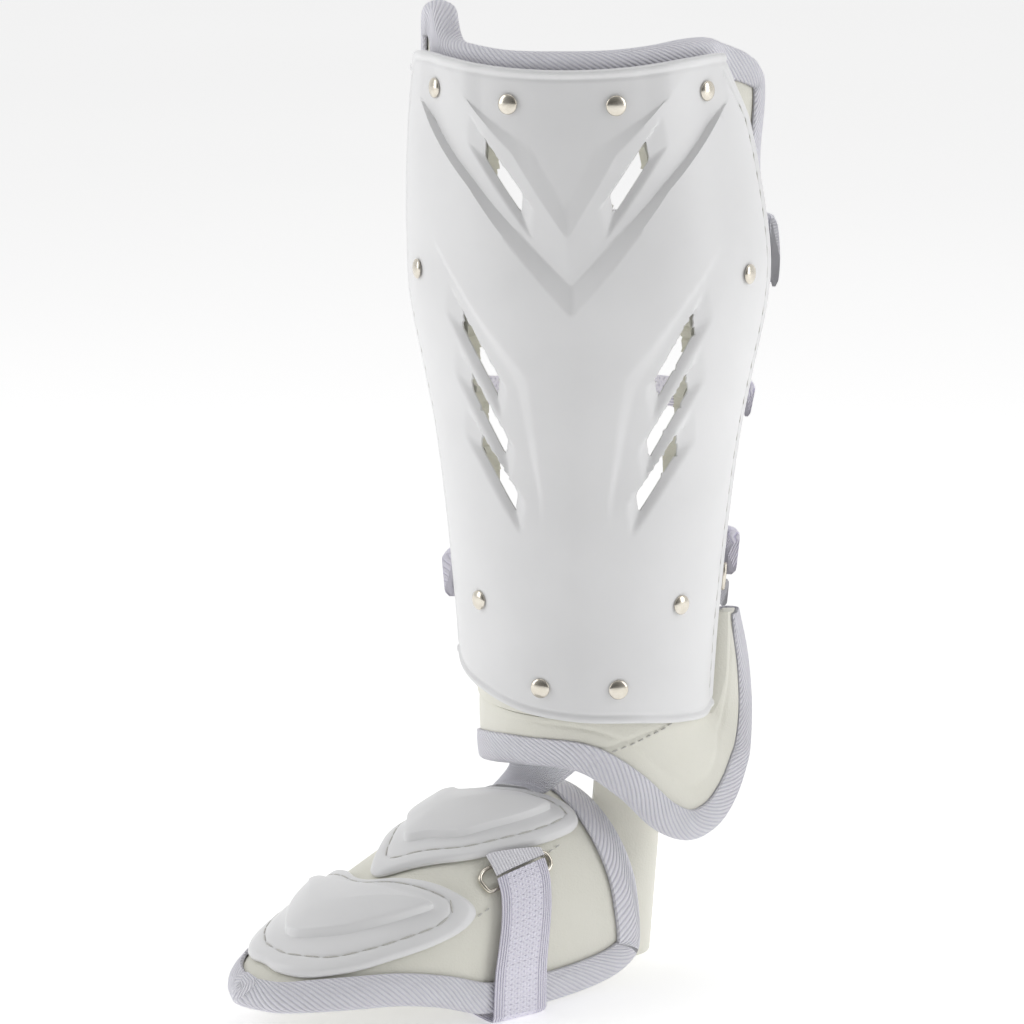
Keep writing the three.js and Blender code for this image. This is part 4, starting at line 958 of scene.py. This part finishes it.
def closed_curve(rows, steps):
    """A rounded closed curve through points."""
    rows = np.asarray(rows, float)
    p0, p1, p2, p3 = (np.roll(rows, s, 0)[:, None] for s in (1, 0, -1, -2))
    t = np.linspace(0, 1, steps, endpoint=False)[None, :, None]
    curve = 0.5 * (2 * p1 + (p2 - p0) * t + (2 * p0 - 5 * p1 + 4 * p2 - p3) * t**2
                   + (3 * p1 - p0 - 3 * p2 + p3) * t**3)
    return curve.reshape(-1, rows.shape[1])


def plate(name):
    middle, far_rear, near = plate_outlines[name]
    def bounded(along, limit):
        return along if along > limit else mix(limit, along, 0.2)

    far = [(bounded(a, far_rear), -r, bounded(da, far_rear + 0.04), -dr)
           for a, r, da, dr in near[1:-1][::-1]]
    outline = closed_curve(near + far, 12)
    rings = []
    for to_dome, scale, out in flange:
        along = mix(outline[:, 0], outline[:, 2], to_dome)
        around = mix(outline[:, 1], outline[:, 3], to_dome)
        rings.append(foot_point(mix(middle, along, scale), around * scale, PLATE_SEAT + out))
    return skinned(f"{name}_plate_moulded", np.array(rings), PLASTIC, 32, cloth=False), outline


instep_plate, instep_outline = plate("instep")
toe_plate, toe_outline = plate("toe")

# %% [markdown]
# ## Straps
# A strap is a flat band through a few stations. Each station gives the place for a share of the
# width and an offset outward; a rounded curve carries the band between them.

# %% Bands
STRAP_WIDTH, STRAP_WALL, STRAP_OVER = 27.0, 1.8, 3.1


def open_curve(rows, steps):
    """A rounded curve through a list of nets or points, ends included."""
    rows = np.asarray(rows, float)
    ends = np.concatenate([2 * rows[:1] - rows[1:2], rows, 2 * rows[-1:] - rows[-2:-1]])
    out = []
    for i in range(len(rows) - 1):
        p0, p1, p2, p3 = ends[i:i + 4]
        for t in np.linspace(0, 1, steps, endpoint=False):
            out.append(0.5 * (2 * p1 + (p2 - p0) * t + (2 * p0 - 5 * p1 + 4 * p2 - p3) * t**2
                              + (3 * p1 - p0 - 3 * p2 + p3) * t**3))
    return np.array([*out, rows[-1]])


def band(stations, wall, cuts=14, steps=8):
    k = np.linspace(-1, 1, cuts + 1)
    thin = 0.32 * wall * np.abs(k) ** 10
    rows = [np.concatenate([place(k, wall - thin), place(k[::-1], thin[::-1])])
            for place in stations]
    return open_curve(rows, steps)


strap_half = STRAP_WIDTH / 2 / (FOOT_LENGTH * 1.38)


def strap_side(v):
    along = mix(0.325, 0.385, smooth(0.5, 1, abs(v)))
    return lambda k, out: foot_point(along + k * strap_half, v, STRAP_OVER + out)


def strap_under(sign, inward, rise=None):
    def place(k, out):
        edge = foot_point(0.385 + k * strap_half, float(sign), STRAP_OVER)
        side = 0 if rise is None else out
        edge = edge + foot_side * np.asarray(sign * (side - inward))[..., None]
        edge[..., 2] = FOOT_LIFT / 2 - out if rise is None else rise
        return edge
    return place


sides = [0.515, 0.6, 0.7, 0.8, 0.9, 1.0]
stations = ([strap_side(v) for v in sides]
            + [strap_under(1, 0.3, FOOT_LIFT / 2 + 0.8), strap_under(1, 3), strap_under(1, 24),
               strap_under(-1, 24), strap_under(-1, 3), strap_under(-1, 0.3, FOOT_LIFT / 2 + 0.8)]
            + [strap_side(-v) for v in sides[::-1]])
sole_strap = skinned("sole_strap_elastic", band(stations, STRAP_WALL), ELASTIC)


def loop_station(step):
    def place(k, out):
        along = 0.325 + k * strap_half
        top = mix(0.470, 0.385, np.clip((along - 0.265) / 0.12, 0, 1))
        return foot_point(along, mix(top, 0.502, step), STRAP_OVER + out)
    return place


stations = [loop_station(s) for s in (0, 0.5, 1)]
strap_loop = skinned("strap_loop_webbing", band(stations, STRAP_WALL * 1.7), RIBBED)

LINK_BACK = FLAP_WALL + TAPE + TAPE_CLEAR + 3 * CLEAR + STRAP_WALL


def link_flap(v):
    return lambda k, out: flap_point(0.145 + 0.08 * k, v, out - LINK_BACK)


def link_pad(rear, slant):
    return lambda k, out: foot_point(rear - slant * k, -0.08 + 0.2 * k, CLEAR + 0.2 + out)


stations = [link_flap(0.30), link_flap(-0.02), link_flap(-0.25), link_pad(0.165, 0.035),
            link_pad(0.1975, 0.0325)]
link_rings = band(stations, STRAP_WALL, cuts=20, steps=14)
link_strap = skinned("link_strap_webbing", link_rings, WEBBING)

STRAP_SLACK, STRAP_SAG = 6.0, 6.0
OVER_TAPE = TAPE + TAPE_CLEAR + TAPE_PUFF + CLEAR
OUTSIDE = LINER_OUT + LINER_SWELL + OVER_TAPE
INSIDE = LINER_OUT - LINER_WALL - OVER_TAPE - 2 * STRAP_WALL


def leg_strap(name, turns, rises, width, fold, left_out, material, round_leg=True):
    """A strap behind the leg: outside at the right, and outside or inside at the left."""
    count = max(int((turns[1] - turns[0]) / 2), 6)

    def station(share):
        def place(k, out):
            back = smooth(0.07, 0.3, share) * smooth(0.93, 0.7, share) if round_leg else 0.0
            z = shell_rise(mix(*rises, share)) + k * width / 2 - STRAP_SAG * back
            end = 1 - smooth(0.03, 0.1, min(share, 1 - share))
            lift = mix(OUTSIDE, left_out, smooth(0.82, 0.95, share)) - STRAP_SLACK * back
            return leg_point(mix(*turns, share) + 0 * k, z, lift + out * (1 + fold * end))
        return place
    stations = [station(i / count) for i in range(count + 1)]
    return skinned(name, band(stations, STRAP_WALL, cuts=12, steps=1), material)


calf_strap = leg_strap("leg_strap_calf", (90.0, 272.0), (0.70, 0.70), 29.0, 1.0, INSIDE, WEBBING)
middle_strap = leg_strap("leg_strap_mid", (90.0, 272.0), (0.465, 0.465), 13.0, 0.6, INSIDE, ELASTIC)
low_strap = leg_strap("leg_strap_low", (90.0, 270.0), (0.2225, 0.176), 19.0, 2.2, OUTSIDE, ELASTIC)
hook_web = leg_strap("hook_webbing", (90.0, 110.0), (0.158, 0.153), 12.0, 0.8, OUTSIDE, WEBBING,
                     round_leg=False)

# %% [markdown]
# ## The inner ankle wall
# Behind the foot guard a smooth leather wall goes round the inner ankle down to the heel.

# %% Ankle wall
WALL_SHEET, WALL_HEIGHT, WALL_FORWARD = 3.0, 96.0, 6.0
wall_rows = table(
    "x y top_x top_y", (0.02, -0.66, 0.14, -0.52), (0.20, -0.55, 0.38, -0.47),
    (0.42, -0.43, 0.60, -0.36), (0.56, -0.28, 0.70, -0.22), (0.60, -0.10, 0.74, -0.06),
    (0.56, 0.08, 0.70, 0.12), (0.44, 0.24, 0.58, 0.30))


def wall_point(share, v, out):
    def place(s):
        x = FLAP_RADIUS * between(wall_rows, "x", "top_x", s, v)
        y = FLAP_RADIUS * between(wall_rows, "y", "top_y", s, v)
        return vectors(x, y - WALL_FORWARD, 0 * x)
    along = unit(place(np.minimum(share + 0.01, 1)) - place(np.maximum(share - 0.01, 0)))
    away = vectors(along[..., 1], -along[..., 0], 0 * along[..., 0])
    point = place(share) + away * np.asarray(out)[..., None]
    point[..., 2] = mix(FOOT_LIFT, FOOT_LIFT + WALL_HEIGHT, v)
    return point


u, v = np.meshgrid(np.linspace(0, 1, 70), np.linspace(0, 1, 60), indexing="ij")
soft_edge = 0.8 * np.exp(-((v - 1) / 0.012) ** 2)
ankle_wall = walled("ankle_wall_cream", wall_point(u, v, -soft_edge),
                    wall_point(u, v, soft_edge - WALL_SHEET), LEATHER)

# %% [markdown]
# ## Rivets
# Ten domed nickel caps hold the shell on its lining. One cap is turned once, and Geometry Nodes
# sets a copy on every marked point, tipped to the way that the shell faces there.

# %% Rivets by Geometry Nodes
rivet_seats = {"top_outer": (0.655, 0.963), "top_inner": (0.222, 0.949), "calf": (0.762, 0.684),
               "low_outer": (0.566, 0.175), "low_inner": (0.205, 0.052)}


def placing_tree(name, part, material):
    """Sets a copy of a part on each point, with its Z along "out" and its X along "along"."""
    tree = bpy.data.node_groups.new(name, "GeometryNodeTree")
    tree.interface.new_socket("Geometry", in_out="INPUT", socket_type="NodeSocketGeometry")
    tree.interface.new_socket("Geometry", in_out="OUTPUT", socket_type="NodeSocketGeometry")
    nodes, links = tree.nodes, tree.links
    start, end = nodes.new("NodeGroupInput"), nodes.new("NodeGroupOutput")
    copy_of = nodes.new("GeometryNodeObjectInfo")
    copy_of.inputs["Object"].default_value = part
    place = nodes.new("GeometryNodeInstanceOnPoints")
    turn = None
    for attribute, axis in (("out", "Z"), ("along", "X")):
        named = nodes.new("GeometryNodeInputNamedAttribute")
        named.data_type = "FLOAT_VECTOR"
        named.inputs["Name"].default_value = attribute
        align = nodes.new("FunctionNodeAlignRotationToVector")
        align.axis = axis
        if turn is not None:
            align.pivot_axis = "Z"
            links.new(turn, align.inputs["Rotation"])
        links.new(named.outputs["Attribute"], align.inputs["Vector"])
        turn = align.outputs[0]
    real, paint = nodes.new("GeometryNodeRealizeInstances"), nodes.new("GeometryNodeSetMaterial")
    paint.inputs["Material"].default_value = material
    links.new(start.outputs["Geometry"], place.inputs["Points"])
    links.new(copy_of.outputs["Geometry"], place.inputs["Instance"])
    links.new(turn, place.inputs["Rotation"])
    links.new(place.outputs[0], real.inputs[0])
    links.new(real.outputs[0], paint.inputs["Geometry"])
    links.new(paint.outputs[0], end.inputs[0])
    return tree


def place_copies(name, part, spots, outs, alongs, material):
    """Marks the spots, lets the tree place the part on them, and keeps the plain mesh."""
    mesh = bpy.data.meshes.new(name + "_spots")
    mesh.from_pydata(to_row(spots).tolist(), [], [])
    for key, values in (("out", outs), ("along", alongs)):
        layer = mesh.attributes.new(key, "FLOAT_VECTOR", "POINT")
        layer.data.foreach_set("vector", np.asarray(values, float).ravel())
    marked = bpy.data.objects.new(name + "_spots", mesh)
    scene.collection.objects.link(marked)
    modifier = marked.modifiers.new("place", "NODES")
    modifier.node_group = placing_tree(name + "_tree", part, material)
    bpy.context.view_layer.update()
    ready = marked.evaluated_get(bpy.context.evaluated_depsgraph_get())
    made_mesh = bpy.data.meshes.new_from_object(ready)
    made = bpy.data.objects.new(name, made_mesh)
    made_mesh.name = name
    made_mesh.shade_smooth()
    scene.collection.objects.link(made)
    bpy.data.objects.remove(marked)
    bpy.data.objects.remove(part)
    pieces.append(made)
    print(f"{name}: {len(spots)} copies, {len(made_mesh.polygons)} faces")
    return made


def loose_part(name, rings):
    """A small part about the origin, in metres, for the tree to copy."""
    points, faces, _ = skin(rings)
    mesh = bpy.data.meshes.new(name)
    mesh.from_pydata((np.asarray(points) / 1000).tolist(), [], [list(map(int, f)) for f in faces])
    mesh.shade_smooth()
    made = bpy.data.objects.new(name, mesh)
    scene.collection.objects.link(made)
    return made


def turned(profile, segments):
    angle = np.linspace(0, 2 * math.pi, segments, endpoint=False)
    return np.array([vectors(r * np.cos(angle), r * np.sin(angle), h) for r, h in profile])


cap_profile = [(0.05, 0), (3.4, 0), (4.0, 0.12), (4.2, 0.42), (4.12, 0.72), (3.85, 1.0), (3.3, 1.3),
               (2.5, 1.58), (1.6, 1.76), (0.8, 1.86), (0.05, 1.9)]
cap = loose_part("cap", turned(cap_profile, 36))
seats, seat_outs = [], []
for turn, rise in rivet_seats.values():
    for side in (-1, 1):
        face = float(relief(np.array(side * turn), np.array(rise))) + CLEAR
        base, above = (leg_point(np.array(side * turn * SHELL_WRAP), shell_rise(rise), face + lift)
                       for lift in (0, 1))
        seats.append(base)
        seat_outs.append(unit(above - base))
rivets = place_copies("rivets_nickel", cap, seats, seat_outs,
                      [np.cross((0, 0, 1), o) for o in seat_outs], NICKEL)

# %% [markdown]
# ## Stitches
# Long stitches lie in the grooves of the shell's side borders and of the plates, and short ones
# run beside the seams of the leather. A rounded grain of thread is copied along each line.

# %% Stitches by Geometry Nodes
def stitch_line(points, outs, length, gap):
    """Middle, outward way and direction of each stitch on a line of points."""
    run = np.r_[0, np.cumsum(np.linalg.norm(np.diff(points, axis=0), axis=1))]
    middles = np.arange(length / 2 + gap / 2, run[-1] - length / 2, length + gap)
    spot = np.stack([np.interp(middles, run, points[:, k]) for k in range(3)], 1)
    out = unit(np.stack([np.interp(middles, run, outs[:, k]) for k in range(3)], 1))
    before, after = (np.stack([np.interp(middles + s, run, points[:, k]) for k in range(3)], 1)
                     for s in (-1, 1))
    along = unit(after - before)
    along = unit(along - out * dot(along, out))
    return spot, out, along


def grain(length, width, height):
    """One stitch, lying along X: thick in the middle, dipping into the cloth at both ends."""
    rings = []
    for s in np.linspace(-1, 1, 7):
        angle = np.linspace(0, 2 * math.pi, 8, endpoint=False)
        full = math.sqrt(max(1 - abs(s) ** 3, 0.02))
        rings.append(vectors(s * length / 2 + 0 * angle, full * width / 2 * np.cos(angle),
                             full * height / 2 * np.sin(angle) - 0.35 * height * s**4))
    return np.array(rings)


def sew(name, lines, length, gap, width=0.75, height=0.6):
    spots = [stitch_line(p, o, length, gap) for p, o in lines]
    merged = [np.concatenate([s[k] for s in spots]) for k in range(3)]
    return place_copies(name, loose_part("grain", grain(length, width, height)),
                        *merged, THREAD)


def on_shell_line(share_of, rises, lift):
    shares_on = share_of(rises)
    base = [shell_face(shares_on, rises, lift + k) for k in (0, 1)]
    return base[0], unit(base[1] - base[0])


def border(side):
    return lambda rises: side * (side_reach(side, rises) - GROOVE_IN / arc_scale(rises))


def on_foot_line(along, around, lift):
    base = [foot_point(along, around, lift + k) for k in (0, 1)]
    return base[0], unit(base[1] - base[0])


shell_lines = [on_shell_line(border(-1), np.linspace(0.085, 0.955, 300), 0.25),
               on_shell_line(border(1), np.linspace(0.01, 0.955, 300), 0.25)]
sew("border_stitches", shell_lines, 6.9, 0.9)
plate_lines = []
for outline in (instep_outline, toe_outline):
    ring = mix(outline[:, :2], outline[:, 2:], 0.47)
    ring = np.concatenate([ring, ring[:1]])
    plate_lines.append(on_foot_line(ring[:, 0], ring[:, 1], PLATE_SEAT + 2.95))
sew("plate_stitches", plate_lines, 7.2, 1.0, 0.7, 0.5)
steps = np.linspace(0, 1, 60)
seam_v = mix(0.50, 0.93, steps)
seam_share = read(flap_seam, "v", "share", seam_v) + 0.018
base = [flap_point(seam_share, seam_v, 0.95 + k) for k in (0, 1)]
leather_lines = [(base[0], unit(base[1] - base[0]))]
for start, end in (((0.268, 0.505), (0.200, 0.470)), ((0.445, 0.637), (0.400, 0.617))):
    line = [mix(start[k], end[k], steps) for k in (0, 1)]
    leather_lines.append(on_foot_line(*line, 0.9))
sew("leather_stitches", leather_lines, 2.6, 1.5, 0.7, 0.6)

# %% [markdown]
# ## The wire hook
# A bent wire ring takes the end of the sole strap, tucked beside the webbing loop.

# %% Wire
WIRE = 1.8


def wire_ring(name, points, above):
    """A closed round wire through points; the points above them say which way is out."""
    along = unit(np.roll(points, -1, 0) - np.roll(points, 1, 0))
    outs = above - points
    out = unit(outs - along * dot(outs, along))
    side = np.cross(along, out)
    rings = np.stack([points + (WIRE / 2) * (out * math.cos(a) + side * math.sin(a))
                      for a in np.linspace(0, 2 * math.pi, 12, endpoint=False)], 1)
    return skinned(name, rings, NICKEL, closed=True, cloth=False)


ring_path = closed_curve([(0.262, 0.482), (0.30, 0.470), (0.34, 0.455), (0.385, 0.440),
                          (0.402, 0.450), (0.410, 0.480), (0.405, 0.535), (0.395, 0.555),
                          (0.36, 0.555), (0.32, 0.565), (0.28, 0.575), (0.258, 0.560),
                          (0.252, 0.520)], 8)
base = foot_point(ring_path[:, 0], ring_path[:, 1], CLEAR + WIRE / 2 + 0.1)
above = foot_point(ring_path[:, 0], ring_path[:, 1], 3.0 + CLEAR)
strap_hook = wire_ring("strap_hook_wire", base, above)
eye = np.radians(np.arange(0, 360, 10))
eye_turn, eye_z = 86.6 + 1.9 * np.cos(eye), shell_rise(0.188) + 5.4 * np.sin(eye)
base = leg_point(eye_turn, eye_z, OUTSIDE + WIRE / 2)
above = leg_point(eye_turn, eye_z, OUTSIDE + WIRE / 2 + 3)
leg_hook = wire_ring("leg_hook_wire", base, above)

# %% [markdown]
# ## Handing the pieces to the frame
# Each piece rides on the part's one body and stands for the solid of the same place.

# %% Riding and replacing
rivet_nodes = [f"rivet_{seat}_{side}" for seat in rivet_seats for side in ("left", "right")]
stands_for = {
    "white_plastic": {shell: ["shin_shell"], instep_plate: ["instep_plate"],
                      toe_plate: ["toe_plate"]},
    "cream_leather": {lining: ["liner_pad"], flap: ["ankle_flap"], foot_pad: ["foot_pad"],
                      ankle_wall: ["ankle_wall"]},
    "lavender_tape": {top_binding: ["top_binding"], ankle_binding: ["ankle_binding"],
                      foot_binding: ["foot_binding"]},
    "lavender_elastic": {sole_strap: ["sole_strap"], low_strap: ["leg_strap_lower"],
                         middle_strap: ["leg_strap_middle"]},
    "white_webbing": {strap_loop: ["strap_loop"], link_strap: ["link_strap"],
                      calf_strap: ["leg_strap_upper"], hook_web: ["lower_web_loop"]},
    "nickel": {strap_hook: ["strap_hook"], leg_hook: ["leg_hook"], rivets: rivet_nodes},
}
for made in pieces:
    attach(made, "root")
for slot, made_for in stands_for.items():
    for made, nodes in made_for.items():
        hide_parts(*nodes)
print("pieces:", len(pieces))

# %% [markdown]
# ## Floor and light
# A pale floor that glows a little, two large soft boxes at the sides and a sky that is darker in
# front let the white shell darken towards its middle, as it does in a studio.

# %% Floor, lights and sky
floor_level = cad_box[0][2] - 0.0002
floor_mesh = bpy.data.meshes.new("floor")
corners = [(-9, -9), (9, -9), (9, 9), (-9, 9)]
floor_mesh.from_pydata([(x, y, floor_level) for x, y in corners], [], [(0, 1, 2, 3)])
floor = bpy.data.objects.new("floor", floor_mesh)
floor_finish = Finish("pale_floor", (0.93, 0.93, 0.93), 0.9, Emission_Strength=0.35)
floor_finish.tint(floor_finish.noise(0.8, 2), (0.92, 0.92, 0.92), (0.94, 0.94, 0.94))
floor_mesh.materials.append(floor_finish.material)
scene.collection.objects.link(floor)


def soft_box(name, place, power, width, height):
    data = bpy.data.lights.new(name, "AREA")
    data.shape = "RECTANGLE"
    data.size, data.size_y = width, height
    data.energy = power
    lamp = bpy.data.objects.new(name, data)
    lamp.location = place
    lamp.rotation_euler = (Vector((0, 0, 0)) - Vector(place)).to_track_quat("-Z", "Y").to_euler()
    scene.collection.objects.link(lamp)


soft_box("left_box", (-1.65, -0.35, 0.75), 9, 0.9, 1.6)
soft_box("right_box", (1.65, -0.25, 0.65), 8, 0.8, 1.5)
soft_box("top_box", (0, 0.2, 1.9), 4, 1.4, 1.4)
world = bpy.data.worlds.new("sky")
world.use_nodes = True
background = world.node_tree.nodes["Background"]
background.inputs[0].default_value = (1, 1, 1, 1)
sky, join = world.node_tree.nodes, world.node_tree.links.new
direction = sky.new("ShaderNodeTexCoord")
split = sky.new("ShaderNodeSeparateXYZ")
level = sky.new("ShaderNodeMapRange")
level.inputs["From Min"].default_value = -1
level.inputs["To Min"].default_value = 0.12
level.inputs["To Max"].default_value = 1.0
join(direction.outputs["Generated"], split.inputs[0])
join(split.outputs[1], level.inputs["Value"])
join(level.outputs[0], background.inputs[1])
scene.world = world
scene.view_settings.view_transform = "Standard"

# %% The end
bpy.context.view_layer.update()
